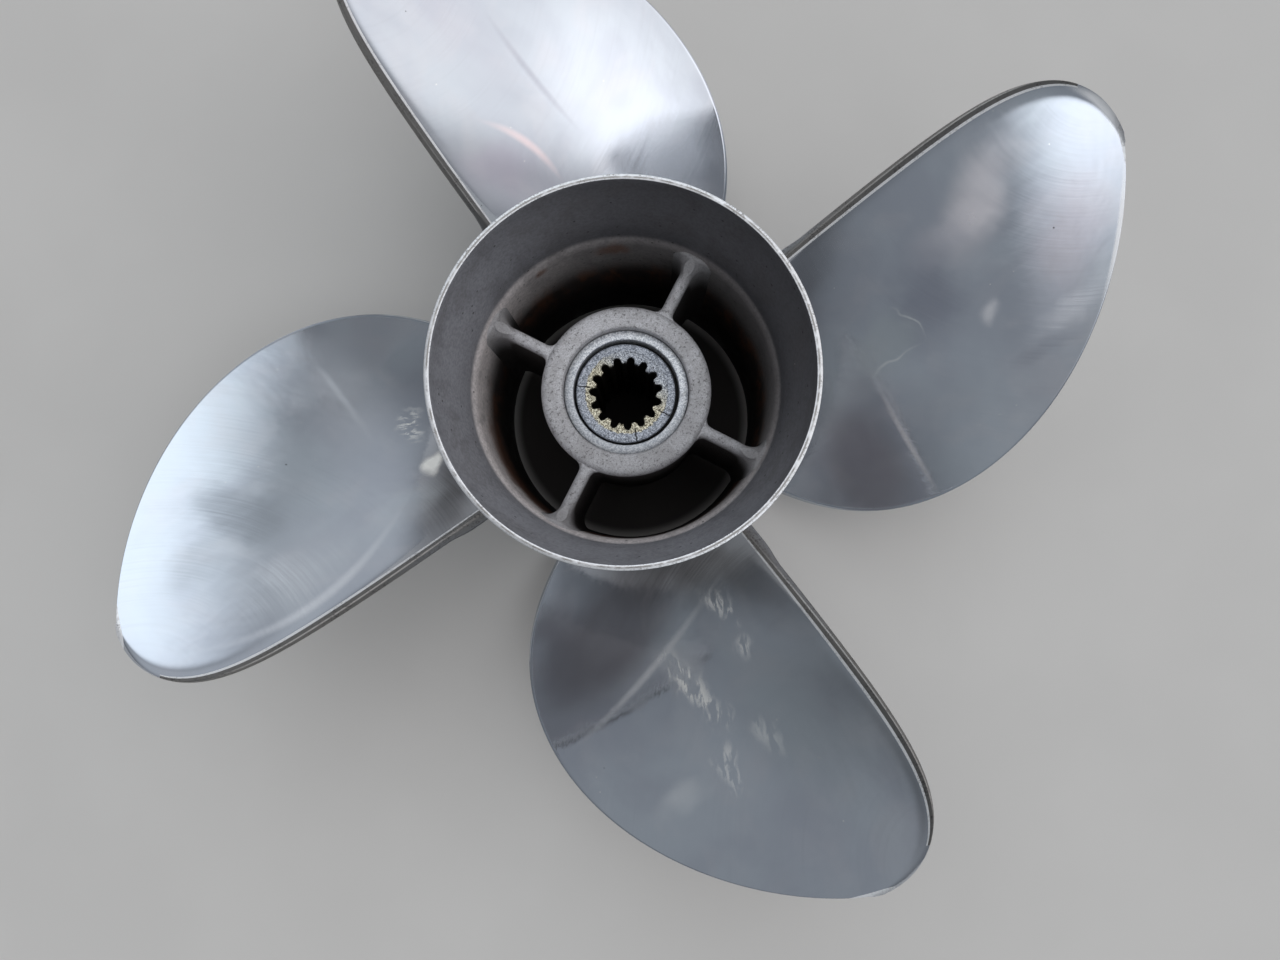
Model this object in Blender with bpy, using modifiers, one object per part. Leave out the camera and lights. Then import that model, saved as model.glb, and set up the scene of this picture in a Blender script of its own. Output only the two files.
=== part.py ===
"""Four-blade through-hub outboard propeller, as separate closed pieces.

The shaft axis is Z. The forward end of the hub stands on z = 0 and the open aft end points up.
Angles turn anticlockwise as seen from aft, so the trailing edge of a right-hand blade is the
high-angle edge and its leading edge is the low-angle, forward edge. All lengths are metres.
"""
import math

import bmesh
import bpy
from mathutils import Vector

# Hub shell
HUB_LENGTH = 0.1330
BARREL_OUTER_R = 0.0550
BARREL_WALL = 0.0038
BARREL_EDGE = 0.0008
DIFFUSER_LENGTH = 0.0370
DIFFUSER_RIM_R = 0.0600
DIFFUSER_RIM_WALL = 0.0017

# Inner barrel, which holds the bushing
INNER_OUTER_R = 0.0295
INNER_AFT_DEPTH = 0.0420
INNER_FORWARD_RECESS = 0.0080
INNER_EDGE = 0.0009
BUSHING_BORE_R = 0.0219
BORE_MOUTH_CHAMFER = 0.0008
THRUST_TAPER_DEPTH = 0.0055
THRUST_TAPER_WIDTH = 0.0022

# Ribs between the two barrels
RIB_COUNT = 4
RIB_ANGLE_DEG = 45.0
RIB_THICKNESS = 0.0045
RIB_FILLET = 0.0050
RIB_AFT_SETBACK = 0.0015
RIB_FORWARD_SETBACK = 0.0060
RIB_EDGE_ROUND = 0.0012

# Bushing: steel shell, bonded rubber and splined sleeve
SHELL_WALL = 0.0031
SHELL_AFT_SETBACK = 0.0045
SHELL_FORWARD_SETBACK = 0.0070
SHELL_EDGE = 0.0004
CUSHION_END_SETBACK = 0.0020
SLEEVE_TUBE_R = 0.0148
SLEEVE_FLANGE_R = 0.0174
SLEEVE_FLANGE_THICKNESS = 0.0050
SLEEVE_AFT_SETBACK = 0.0055
SLEEVE_FORWARD_SETBACK = 0.0050
SLEEVE_EDGE = 0.0005
SPLINE_TEETH = 15
SPLINE_MAJOR_R = 0.0128
SPLINE_MINOR_R = 0.0106
SPLINE_GROOVE_SHARE = 0.40
SPLINE_TIP_SHARE = 0.28

# Blades
BLADE_COUNT = 4
BLADE_ANGLE_DEG = -6.6
BLADE_TIP_R = 0.1805
BLADE_PITCH = 0.4400
BLADE_PITCH_GAIN = 0.1000
BLADE_RAKE_DEG = 19.0
BLADE_AFT_DEPTH = 0.0605
BLADE_REFERENCE_R = 0.1200
TIP_ANGLE_DEG = 14.0
LEADING_SWEEP_DEG = 53.3
LEADING_POWER = 2.35
LEADING_ROUND = 0.80
TRAILING_SWEEP_DEG = 12.0
TRAILING_SLOPE_DEG = 3.0
TRAILING_POWER = 7.0
ROOT_THICKNESS = 0.0082
TIP_THICKNESS = 0.0030
TRAILING_THICKNESS = 0.0030
ROOT_FLAT_EXTRA = 0.0013
ROOT_FLAT_LENGTH = 0.0230
LEADING_THICKNESS = 0.0014
CUP_HEIGHT = 0.0036
CUP_WIDTH = 0.0150
TIP_CUP_WIDTH = 0.0120
ROOT_FILLET = 0.0050

# Clearance between separate pieces, and mesh fineness
CLEARANCE = 0.0003
BIG_STEPS = 80
SMALL_STEPS = 54
CHORD_POINTS = 17
SPAN_STATIONS = 20
THICKNESS_STEPS = 3

# Derived places
BARREL_BORE_R = BARREL_OUTER_R - BARREL_WALL
DIFFUSER_START_Z = HUB_LENGTH - DIFFUSER_LENGTH
INNER_AFT_Z = HUB_LENGTH - INNER_AFT_DEPTH
SHELL_OUTER_R = BUSHING_BORE_R - CLEARANCE
SHELL_INNER_R = SHELL_OUTER_R - SHELL_WALL
SHELL_AFT_Z = INNER_AFT_Z - SHELL_AFT_SETBACK
SHELL_FORWARD_Z = INNER_FORWARD_RECESS + SHELL_FORWARD_SETBACK
SLEEVE_AFT_Z = INNER_AFT_Z - SLEEVE_AFT_SETBACK
SLEEVE_FORWARD_Z = INNER_FORWARD_RECESS + SLEEVE_FORWARD_SETBACK
CUSHION_AFT_Z = SLEEVE_AFT_Z - SLEEVE_FLANGE_THICKNESS - CLEARANCE
CUSHION_FORWARD_Z = SHELL_FORWARD_Z + CUSHION_END_SETBACK
BLADE_ROOT_R = BARREL_OUTER_R + CLEARANCE
BLADE_SPAN = BLADE_TIP_R - BLADE_ROOT_R


def clear_scene():
    """Removes every object that the scene holds."""
    for found in list(bpy.data.objects):
        bpy.data.objects.remove(found, do_unlink=True)


def make_collection(name):
    """Makes a collection and links it to the scene."""
    made = bpy.data.collections.new(name)
    bpy.context.scene.collection.children.link(made)
    return made


def make_material(name, colour, metallic, roughness):
    """Makes a Principled material."""
    material = bpy.data.materials.new(name)
    material.use_nodes = True
    shader = material.node_tree.nodes["Principled BSDF"]
    shader.inputs["Base Color"].default_value = (*colour, 1.0)
    shader.inputs["Metallic"].default_value = metallic
    shader.inputs["Roughness"].default_value = roughness
    return material


def add_object(name, mesh, material, collection, parent=None):
    """Puts a mesh in the scene as one named object with one material."""
    made = bpy.data.objects.new(name, mesh)
    collection.objects.link(made)
    if material is not None and not mesh.materials:
        mesh.materials.append(material)
    made.parent = parent
    return made


def add_turned(name, profile, steps, material, collection, parent):
    """Turns a closed profile of (radius, height) points round the shaft axis.

    The points run down the outer side and come back up the bore.
    """
    mesh = bpy.data.meshes.new(name)
    bm = bmesh.new()
    corners = [bm.verts.new((radius, 0.0, height)) for radius, height in profile]
    for here, there in zip(corners, corners[1:] + corners[:1]):
        bm.edges.new((here, there))
    bm.to_mesh(mesh)
    bm.free()
    made = add_object(name, mesh, material, collection, parent)
    screw = made.modifiers.new("turn", "SCREW")
    screw.axis = "Z"
    screw.angle = math.tau
    screw.steps = steps
    screw.render_steps = steps
    screw.use_merge_vertices = True
    screw.merge_threshold = 0.00001
    screw.use_smooth_shade = True
    return made


def loft_rings(name, rings, cap=None):
    """Joins equal closed rings of points into one closed skin.

    The ends are single flat faces, or what cap(bm, ring, index) builds inside the first and
    the last ring.
    """
    bm = bmesh.new()
    skin = [[bm.verts.new(point) for point in ring] for ring in rings]
    count = len(rings[0])
    for low, high in zip(skin, skin[1:]):
        for i in range(count):
            j = (i + 1) % count
            bm.faces.new((low[i], low[j], high[j], high[i]))
    for index in (0, -1):
        if cap is None:
            bm.faces.new(skin[index])
        else:
            cap(bm, skin[index], index)
    bmesh.ops.recalc_face_normals(bm, faces=bm.faces)
    mesh = bpy.data.meshes.new(name)
    bm.to_mesh(mesh)
    bm.free()
    return mesh


def shade_round(mesh, limit_deg=35.0):
    """Shades a mesh smooth but for its sharp edges."""
    mesh.shade_smooth()
    mesh.set_sharp_from_angle(angle=math.radians(limit_deg))


def outer_barrel_profile():
    """The straight part of the outer barrel, from the diffuser to the forward end."""
    top = DIFFUSER_START_Z - CLEARANCE
    edge = BARREL_EDGE
    return [
        (BARREL_OUTER_R, top),
        (BARREL_OUTER_R, edge),
        (BARREL_OUTER_R - edge, 0.0),
        (BARREL_BORE_R + edge, 0.0),
        (BARREL_BORE_R, edge),
        (BARREL_BORE_R, top),
    ]


def diffuser_profile(steps=8):
    """The flared aft end: an S-shaped outside and a dished inside that thin towards the rim."""
    outside = []
    inside = []
    for i in range(steps + 1):
        share = i / steps
        height = HUB_LENGTH - DIFFUSER_LENGTH * share
        ease = 0.5 + 0.5 * math.cos(math.pi * share)
        outside.append((BARREL_OUTER_R + (DIFFUSER_RIM_R - BARREL_OUTER_R) * ease, height))
        lip = DIFFUSER_RIM_R - DIFFUSER_RIM_WALL
        inside.append((BARREL_BORE_R + (lip - BARREL_BORE_R) * ease, height))
    return outside + list(reversed(inside))


def inner_barrel_profile():
    """The thick tube that holds the bushing."""
    top = INNER_AFT_Z
    bottom = INNER_FORWARD_RECESS
    edge = INNER_EDGE
    mouth = BORE_MOUTH_CHAMFER
    return [
        (INNER_OUTER_R - edge, top),
        (INNER_OUTER_R, top - edge),
        (INNER_OUTER_R, bottom + edge),
        (INNER_OUTER_R - edge, bottom),
        (BUSHING_BORE_R + THRUST_TAPER_WIDTH, bottom),
        (BUSHING_BORE_R, bottom + THRUST_TAPER_DEPTH),
        (BUSHING_BORE_R, top - mouth),
        (BUSHING_BORE_R + mouth, top),
    ]


def shell_profile():
    """The steel shell that is pressed into the inner barrel."""
    top = SHELL_AFT_Z
    bottom = SHELL_FORWARD_Z
    edge = SHELL_EDGE
    return [
        (SHELL_OUTER_R - edge, top),
        (SHELL_OUTER_R, top - edge),
        (SHELL_OUTER_R, bottom + edge),
        (SHELL_OUTER_R - edge, bottom),
        (SHELL_INNER_R, bottom),
        (SHELL_INNER_R, top),
    ]


def cushion_profile():
    """The rubber between the steel shell and the splined sleeve."""
    outer = SHELL_INNER_R - CLEARANCE
    inner = SLEEVE_TUBE_R + CLEARANCE
    return [
        (outer, CUSHION_AFT_Z),
        (outer, CUSHION_FORWARD_Z),
        (inner, CUSHION_FORWARD_Z),
        (inner, CUSHION_AFT_Z),
    ]


def sleeve_profile():
    """The splined sleeve before its teeth are cut, with a flange at its aft end."""
    top = SLEEVE_AFT_Z
    bottom = SLEEVE_FORWARD_Z
    under = top - SLEEVE_FLANGE_THICKNESS
    edge = SLEEVE_EDGE
    return [
        (SLEEVE_FLANGE_R - edge, top),
        (SLEEVE_FLANGE_R, top - edge),
        (SLEEVE_FLANGE_R, under),
        (SLEEVE_TUBE_R, under),
        (SLEEVE_TUBE_R, bottom + edge),
        (SLEEVE_TUBE_R - edge, bottom),
        (SPLINE_MINOR_R, bottom),
        (SPLINE_MINOR_R, top),
    ]


def spline_outline(height):
    """The toothed outline of the shaft that the sleeve fits, at one height."""
    pitch = math.tau / SPLINE_TEETH
    clear_r = SPLINE_MINOR_R - CLEARANCE
    flank = (1.0 - SPLINE_GROOVE_SHARE - SPLINE_TIP_SHARE) / 2.0
    points = []
    for tooth in range(SPLINE_TEETH):
        start = tooth * pitch
        for share, radius in (
            (0.0, SPLINE_MAJOR_R),
            (SPLINE_GROOVE_SHARE / 2.0, SPLINE_MAJOR_R),
            (SPLINE_GROOVE_SHARE, SPLINE_MAJOR_R),
            (SPLINE_GROOVE_SHARE + flank, clear_r),
            (1.0 - flank, clear_r),
        ):
            angle = start + pitch * share
            points.append(Vector((radius * math.cos(angle), radius * math.sin(angle), height)))
    return points


def rib_outline(inset, height):
    """A rib's outline along +X at one height, with filleted ends that follow both barrels."""
    inner_r = INNER_OUTER_R + CLEARANCE
    outer_r = BARREL_BORE_R - CLEARANCE
    steps = 5
    shares = [i / steps for i in range(steps + 1)]
    distances = [RIB_FILLET * share ** 1.5 for share in shares]
    along = [inner_r + d for d in distances] + [outer_r - d for d in reversed(distances)]

    def half_width(radius):
        reach = min(radius - inner_r, outer_r - radius)
        rest = max(0.0, 1.0 - reach / RIB_FILLET)
        flare = RIB_FILLET * (1.0 - math.sqrt(max(0.0, 1.0 - rest * rest)))
        return max(0.0003, RIB_THICKNESS / 2.0 + min(flare, 0.72 * RIB_FILLET) - inset)

    def on_circle(radius, side):
        angle = side / radius
        return Vector((radius * math.cos(angle), radius * math.sin(angle), height))

    points = [on_circle(radius, -half_width(radius)) for radius in along]
    for share in (-0.5, 0.0, 0.5):
        points.append(on_circle(outer_r, share * half_width(outer_r)))
    points += [on_circle(radius, half_width(radius)) for radius in reversed(along)]
    for share in (0.5, 0.0, -0.5):
        points.append(on_circle(inner_r, share * half_width(inner_r)))
    return points


def rib_mesh():
    """One rib, with its forward and aft edges rounded."""
    bottom = INNER_FORWARD_RECESS + RIB_FORWARD_SETBACK
    top = INNER_AFT_Z - RIB_AFT_SETBACK
    steps = 3
    rings = []
    for i in range(steps + 1):
        turn = math.pi / 2.0 * i / steps
        inset = RIB_EDGE_ROUND * (1.0 - math.sin(turn))
        rings.append(rib_outline(inset, bottom + RIB_EDGE_ROUND * (1.0 - math.cos(turn))))
    for i in reversed(range(steps + 1)):
        turn = math.pi / 2.0 * i / steps
        inset = RIB_EDGE_ROUND * (1.0 - math.sin(turn))
        rings.append(rib_outline(inset, top - RIB_EDGE_ROUND * (1.0 - math.cos(turn))))
    mesh = loft_rings("rib", rings)
    shade_round(mesh, 50.0)
    return mesh


def leading_angle(radius):
    """Angle of the leading edge at a radius, in radians."""
    share = min(1.0, (radius - BLADE_ROOT_R) / BLADE_SPAN)
    rise = 1.0 - (1.0 - share ** LEADING_POWER) ** LEADING_ROUND
    return math.radians(TIP_ANGLE_DEG - LEADING_SWEEP_DEG * (1.0 - rise))


def trailing_angle(radius):
    """Angle of the trailing edge at a radius, in radians."""
    share = min(1.0, (radius - BLADE_ROOT_R) / BLADE_SPAN)
    corner = 1.0 - math.sqrt(1.0 - share ** TRAILING_POWER)
    top = TIP_ANGLE_DEG + TRAILING_SLOPE_DEG + TRAILING_SWEEP_DEG
    return math.radians(top - TRAILING_SLOPE_DEG * share - TRAILING_SWEEP_DEG * corner)


def helix_slope(radius, angle):
    """Angle between the blade's section and the plane of rotation."""
    return math.atan((BLADE_PITCH + BLADE_PITCH_GAIN * angle) / (math.tau * radius))


def face_height(radius, angle):
    """Height of the driving face: a raked helicoid, cupped along its trailing edge and tip."""
    lead = (BLADE_PITCH * angle + BLADE_PITCH_GAIN * angle * angle / 2.0) / math.tau
    rake = math.tan(math.radians(BLADE_RAKE_DEG)) * (radius - BLADE_REFERENCE_R)
    chord = (trailing_angle(radius) - angle) * radius / math.cos(helix_slope(radius, angle))
    edge_bend = max(0.0, 1.0 - chord / CUP_WIDTH)
    tip_bend = max(0.0, 1.0 - (BLADE_TIP_R - radius) / TIP_CUP_WIDTH)
    cup = CUP_HEIGHT * (1.0 - (1.0 - edge_bend ** 2) * (1.0 - tip_bend ** 2))
    return HUB_LENGTH - BLADE_AFT_DEPTH + rake + lead + cup


def blade_thickness(radius, share):
    """Thickness at a radius and a share of the chord, counted from the trailing edge."""
    out = (radius - BLADE_ROOT_R) / BLADE_SPAN
    middle = TIP_THICKNESS + (ROOT_THICKNESS - TIP_THICKNESS) * (1.0 - out) ** 1.2
    edge = TRAILING_THICKNESS + (LEADING_THICKNESS - TRAILING_THICKNESS) * share
    edge *= 1.0 - 0.25 * out
    flat = min(1.0, max(0.0, (ROOT_FLAT_LENGTH - (radius - BLADE_ROOT_R)) / (0.25 * ROOT_FLAT_LENGTH)))
    edge += ROOT_FLAT_EXTRA * flat * max(0.0, 1.0 - 4.0 * share)
    swell = (4.0 * share * (1.0 - share)) ** 0.75
    return edge + max(0.0, middle - edge) * swell


def blade_point(radius, angle, offset):
    """A point that lies off the driving face by an offset towards the back."""
    slope = helix_slope(radius, angle)
    turned = angle + offset * math.sin(slope) / radius
    height = face_height(radius, angle) - offset * math.cos(slope)
    return Vector((radius * math.cos(turned), radius * math.sin(turned), height))


def section_grid(radius):
    """Rows of points across the thickness, from the trailing edge to the leading edge."""
    low = leading_angle(radius)
    high = trailing_angle(radius)
    rest = max(0.0, 1.0 - (radius - BLADE_ROOT_R) / ROOT_FILLET)
    rows = []
    for i in range(CHORD_POINTS):
        turn = i / (CHORD_POINTS - 1)
        share = 0.55 * turn + 0.45 * (0.5 - 0.5 * math.cos(math.pi * turn))
        angle = high + (low - high) * share
        fade = 0.25 + 0.75 * math.sin(math.pi * min(1.0, max(0.0, share)))
        fillet = ROOT_FILLET * rest * rest * fade
        depth = blade_thickness(radius, share) + 2.0 * fillet
        steps = [depth * j / THICKNESS_STEPS - fillet for j in range(THICKNESS_STEPS + 1)]
        rows.append([blade_point(radius, angle, offset) for offset in steps])
    return rows


def section_ring(radius):
    """One closed section: the face, the blunt trailing edge, the back and the nose."""
    rows = section_grid(radius)
    nose_angle = leading_angle(radius) - 0.45 * LEADING_THICKNESS / radius
    nose = blade_point(radius, nose_angle, blade_thickness(radius, 1.0) / 2.0)
    face = [row[0] for row in reversed(rows)]
    back = [row[-1] for row in rows]
    return face + rows[0][1:-1] + back + [nose]


def blade_mesh():
    """One blade as a loft of sections from the barrel to the tip."""
    start = ROOT_FILLET / BLADE_SPAN
    shares = [0.0, 0.3 * start, 0.65 * start]
    for i in range(SPAN_STATIONS + 1):
        step = i / SPAN_STATIONS
        shares.append(start + (0.9995 - start) * (0.1 * step + 0.9 * math.sin(math.pi / 2.0 * step)))
    radii = [BLADE_ROOT_R + BLADE_SPAN * share for share in shares]

    def end_cap(bm, ring, index):
        """Fills an end with rungs that bend round the shaft axis, as the barrel does."""
        rows = section_grid(radii[index])
        wall = THICKNESS_STEPS - 1
        grid = []
        for i, row in enumerate(rows):
            face_vert = ring[CHORD_POINTS - 1 - i]
            back_vert = ring[CHORD_POINTS + wall + i]
            if i == 0:
                middle = ring[CHORD_POINTS:CHORD_POINTS + wall]
            else:
                middle = [bm.verts.new(point) for point in row[1:-1]]
            grid.append([face_vert] + middle + [back_vert])
        for here, there in zip(grid, grid[1:]):
            for j in range(THICKNESS_STEPS):
                bm.faces.new((here[j], here[j + 1], there[j + 1], there[j]))
        for j in range(THICKNESS_STEPS):
            bm.faces.new((grid[-1][j], grid[-1][j + 1], ring[-1]))

    mesh = loft_rings("blade", [section_ring(radius) for radius in radii], end_cap)
    shade_round(mesh, 40.0)
    return mesh


def main():
    """Builds the propeller."""
    clear_scene()
    parts = make_collection("outboard_propeller")
    cutters = make_collection("cutters")
    axis = bpy.data.objects.new("shaft_axis", None)
    axis.empty_display_size = 0.05
    parts.objects.link(axis)

    cast = make_material("cast_steel", (0.42, 0.42, 0.43), 0.85, 0.55)
    polished = make_material("polished_steel", (0.55, 0.57, 0.61), 1.0, 0.28)
    sooty = make_material("sooty_steel", (0.16, 0.15, 0.15), 0.60, 0.60)
    pressed = make_material("bushing_steel", (0.50, 0.53, 0.58), 0.90, 0.45)
    rubber = make_material("rubber", (0.03, 0.03, 0.035), 0.0, 0.80)
    brass = make_material("worn_brass", (0.60, 0.54, 0.40), 0.90, 0.42)

    add_turned("outer_barrel", outer_barrel_profile(), BIG_STEPS, cast, parts, axis)
    add_turned("diffuser_ring", diffuser_profile(), BIG_STEPS, sooty, parts, axis)
    add_turned("inner_barrel", inner_barrel_profile(), SMALL_STEPS, cast, parts, axis)
    add_turned("bushing_shell", shell_profile(), SMALL_STEPS, pressed, parts, axis)
    add_turned("bushing_rubber", cushion_profile(), SMALL_STEPS, rubber, parts, axis)
    sleeve = add_turned("spline_sleeve", sleeve_profile(), SMALL_STEPS, brass, parts, axis)

    reach = 0.002
    rings = [spline_outline(SLEEVE_FORWARD_Z - reach), spline_outline(SLEEVE_AFT_Z + reach)]
    cutter = add_object("spline_cutter", loft_rings("spline_cutter", rings), None, cutters, axis)
    cutter.hide_render = True
    cutter.display_type = "WIRE"
    cut = sleeve.modifiers.new("splines", "BOOLEAN")
    cut.operation = "DIFFERENCE"
    cut.solver = "EXACT"
    cut.object = cutter

    shared_rib = rib_mesh()
    for i in range(RIB_COUNT):
        rib = add_object("rib_%d" % (i + 1), shared_rib, cast, parts, axis)
        rib.rotation_euler.z = math.radians(RIB_ANGLE_DEG) + math.tau * i / RIB_COUNT

    shared_blade = blade_mesh()
    for i in range(BLADE_COUNT):
        blade = add_object("blade_%d" % (i + 1), shared_blade, polished, parts, axis)
        blade.rotation_euler.z = math.radians(BLADE_ANGLE_DEG) + math.tau * i / BLADE_COUNT

    bpy.context.view_layer.update()


main()
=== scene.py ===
"""An outboard propeller in polished cast stainless steel, dressed for its picture.

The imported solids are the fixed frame. Each one is replaced by a finer piece of the same size and
place, and every piece gets a finish built from nodes.
"""

import logging
import math
from dataclasses import dataclass, field
from enum import Enum
from functools import reduce
from typing import Callable, Optional, Sequence, Union

import bmesh
import bpy
from mathutils import Matrix, Vector, noise


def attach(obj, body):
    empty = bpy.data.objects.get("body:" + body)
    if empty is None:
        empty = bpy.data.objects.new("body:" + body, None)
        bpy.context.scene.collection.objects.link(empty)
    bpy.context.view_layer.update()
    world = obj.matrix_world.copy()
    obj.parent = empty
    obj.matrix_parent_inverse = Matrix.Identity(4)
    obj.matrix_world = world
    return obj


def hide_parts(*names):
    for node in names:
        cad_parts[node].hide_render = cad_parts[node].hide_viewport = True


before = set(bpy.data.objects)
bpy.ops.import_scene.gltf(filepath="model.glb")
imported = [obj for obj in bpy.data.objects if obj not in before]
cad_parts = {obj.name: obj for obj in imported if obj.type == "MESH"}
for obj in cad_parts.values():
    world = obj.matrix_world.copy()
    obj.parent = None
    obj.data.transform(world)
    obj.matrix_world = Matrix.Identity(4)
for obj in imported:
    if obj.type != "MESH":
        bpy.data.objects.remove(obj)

LOG = logging.getLogger("propeller")
BODY = "root"
Material = bpy.types.Material
Mesh = bmesh.types.BMesh
Finishes = Sequence[Material]
Spot = tuple[float, float]
ORIGIN = (0.0, 0.0, 0.0)
SAME = (1.0, 1.0, 1.0)
ENDLESS = 100.0


class Slot(Enum):
    """The record's material slots."""

    CAST_STEEL = "cast_steel"
    DIFFUSER_STEEL = "diffuser_steel"
    BLADE_STEEL = "blade_steel"
    BUSHING_STEEL = "bushing_steel"
    RUBBER = "rubber"
    WORN_BRASS = "worn_brass"


class Grain(Enum):
    """The way that the buffing marks run over a polished surface."""

    ARCS = "arcs about a point beside the blade"
    ROUND = "rings round the shaft"


def held_share(value: float) -> float:
    """Returns a number held between 0 and 1."""
    return min(1.0, max(0.0, value))


def smooth_step(value: float) -> float:
    """Returns 0 to 1 for a value from 0 to 1, level at both ends."""
    held = held_share(value)
    return held * held * (3.0 - 2.0 * held)


def quarter_round(rest: float) -> float:
    """Returns how far a quarter circle of radius 1 has risen, where rest goes from 0 to 1."""
    held = held_share(rest)
    return 1.0 - math.sqrt(1.0 - held * held)


class Wire:
    """What a node gives at each place: a number, a colour or a vector. Numbers take plain arithmetic."""

    def __init__(self, sheet: "NodeSheet", socket: bpy.types.NodeSocket) -> None:
        """Holds a node's output and the sheet that the node is on."""
        self.sheet = sheet
        self.socket = socket

    def __add__(self, other: "Value") -> "Wire":
        """Returns the sum."""
        return self.sheet.sum("ADD", self, other)

    def __sub__(self, other: "Value") -> "Wire":
        """Returns the difference."""
        return self.sheet.sum("SUBTRACT", self, other)

    def __rsub__(self, other: float) -> "Wire":
        """Returns what this leaves of a plain number."""
        return self.sheet.sum("SUBTRACT", other, self)

    def __mul__(self, other: "Value") -> "Wire":
        """Returns the product."""
        return self.sheet.sum("MULTIPLY", self, other)

    def __abs__(self) -> "Wire":
        """Returns the number without its sign."""
        return self.sheet.sum("ABSOLUTE", self)

    def scaled(self, by: float, plus: "Value") -> "Wire":
        """Returns the product with one number, plus another."""
        return self.sheet.sum("MULTIPLY_ADD", self, by, plus)

    def most(self, other: "Value") -> "Wire":
        """Returns the larger of two numbers."""
        return self.sheet.sum("MAXIMUM", self, other)

    def held(self, low: float, high: float) -> "Wire":
        """Returns the number held between two others."""
        return self.sheet.sum("MINIMUM", self.most(low), high)

    def ease(self, low: float, high: float, start: float = 0.0, end: float = 1.0) -> "Wire":
        """Eases the number from one range into another.

        Args:
            low: Where the change starts.
            high: Where it ends.
            start: The result up to low.
            end: The result from high on.

        Returns:
            The eased number.
        """
        inputs = {"Value": self, "From Min": low, "From Max": high, "To Min": start, "To Max": end}
        settings = {"interpolation_type": "SMOOTHSTEP", "clamp": True}
        return self.sheet.wire("ShaderNodeMapRange", "Result", inputs, settings)

    def fade(self, low: float, high: float) -> "Wire":
        """Returns 1 up to low and 0 from high on."""
        return self.ease(low, high, 1.0, 0.0)

    def bump(self, strength: float, depth: float, under: Optional["Wire"] = None) -> "Wire":
        """Turns the number into a bump.

        Args:
            strength: How much of the bump is used.
            depth: How deep it is where the number is 1, in metres.
            under: A bump that lies under this one.

        Returns:
            The bent normal.
        """
        inputs = {"Height": self, "Strength": strength, "Distance": depth}
        if under is not None:
            inputs["Normal"] = under
        return self.sheet.wire("ShaderNodeBump", "Normal", inputs)

    def parts(self) -> list["Wire"]:
        """Returns the three parts of the vector."""
        made = self.sheet.node("ShaderNodeSeparateXYZ", {"Vector": self})
        return [Wire(self.sheet, part) for part in made.outputs]

    def along(self, degrees: float) -> "Wire":
        """Returns how far the vector reaches in a direction round the shaft."""
        x, y, _ = self.parts()
        return x * math.cos(math.radians(degrees)) + y * math.sin(math.radians(degrees))

    def reach(self, centre: tuple) -> "Wire":
        """Returns the distance of the vector from a point."""
        return self.sheet.vector_sum("DISTANCE", self, centre, output="Value")

    def radius(self) -> "Wire":
        """Returns the distance from the shaft axis."""
        flat = self.sheet.vector_sum("MULTIPLY", self, (1.0, 1.0, 0.0))
        return self.sheet.vector_sum("LENGTH", flat, output="Value")

    def mapping(self, kind: str, shift: tuple, turn: tuple, scale: tuple) -> "Wire":
        """Changes the vector with Blender's mapping.

        Args:
            kind: Blender's name for the way that it maps.
            shift: Its shift, in metres.
            turn: Its turns about x, y and z, in degrees.
            scale: Its scale along each of them.

        Returns:
            The changed vector.
        """
        angles = tuple(math.radians(part) for part in turn)
        inputs = {"Vector": self, "Location": shift, "Rotation": angles, "Scale": scale}
        return self.sheet.wire("ShaderNodeMapping", "Vector", inputs, {"vector_type": kind})

    def mapped(self, turn: float = 0.0, shift: tuple = ORIGIN, scale: tuple = SAME) -> "Wire":
        """Returns the vector scaled, turned by degrees about the shaft and then shifted."""
        return self.mapping("POINT", shift, (0.0, 0.0, turn), scale)

    def framed(self, centre: tuple, turn: tuple, scale: tuple) -> "Wire":
        """Returns the vector as it looks from a frame that is shifted, turned and stretched."""
        return self.mapping("TEXTURE", centre, turn, scale)

    def cloud(self, scale: float, detail: float, rough: float, warp: float = 0.0,
              output: str = "Fac") -> "Wire":
        """Reads noise at the vector.

        Args:
            scale: Its waves for each metre.
            detail: How many finer layers it has.
            rough: How strong those layers are.
            warp: How much it is distorted.
            output: Fac for a number about one half, or Color for three of them.

        Returns:
            The noise.
        """
        inputs = {"Vector": self, "Scale": scale, "Detail": detail, "Roughness": rough, "Distortion": warp}
        return self.sheet.wire("ShaderNodeTexNoise", output, inputs, {"noise_dimensions": "3D"})

    def stirred(self, scale: float, swing: float, detail: float) -> "Wire":
        """Shifts the vector to and fro by noise.

        Args:
            scale: The noise's waves for each metre.
            swing: How far it shifts the vector, in metres.
            detail: How many finer layers it has.

        Returns:
            The shifted vector.
        """
        drift = self.cloud(scale, detail, 0.5, output="Color")
        pull = self.sheet.vector_sum("MULTIPLY_ADD", drift, (2.0 * swing,) * 3, (-swing,) * 3)
        return self.sheet.vector_sum("ADD", self, pull)

    def specks(self, scale: float, size: float, share: float) -> "Wire":
        """Scatters small round specks.

        Args:
            scale: Cells for each metre, each with one speck at most.
            size: A speck's radius as a share of its cell.
            share: The share of cells that hold one.

        Returns:
            1 in a speck and 0 elsewhere.
        """
        cell = self.sheet.node("ShaderNodeTexVoronoi", {"Vector": self, "Scale": scale}, {"feature": "F1"})
        dot = Wire(self.sheet, cell.outputs["Distance"]).fade(size * 0.6, size)
        tint = Wire(self.sheet, cell.outputs["Color"])
        red = self.sheet.wire("ShaderNodeSeparateColor", "Red", {"Color": tint})
        return dot * self.sheet.sum("LESS_THAN", red, share)


Value = Union[float, tuple, Wire]


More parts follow.
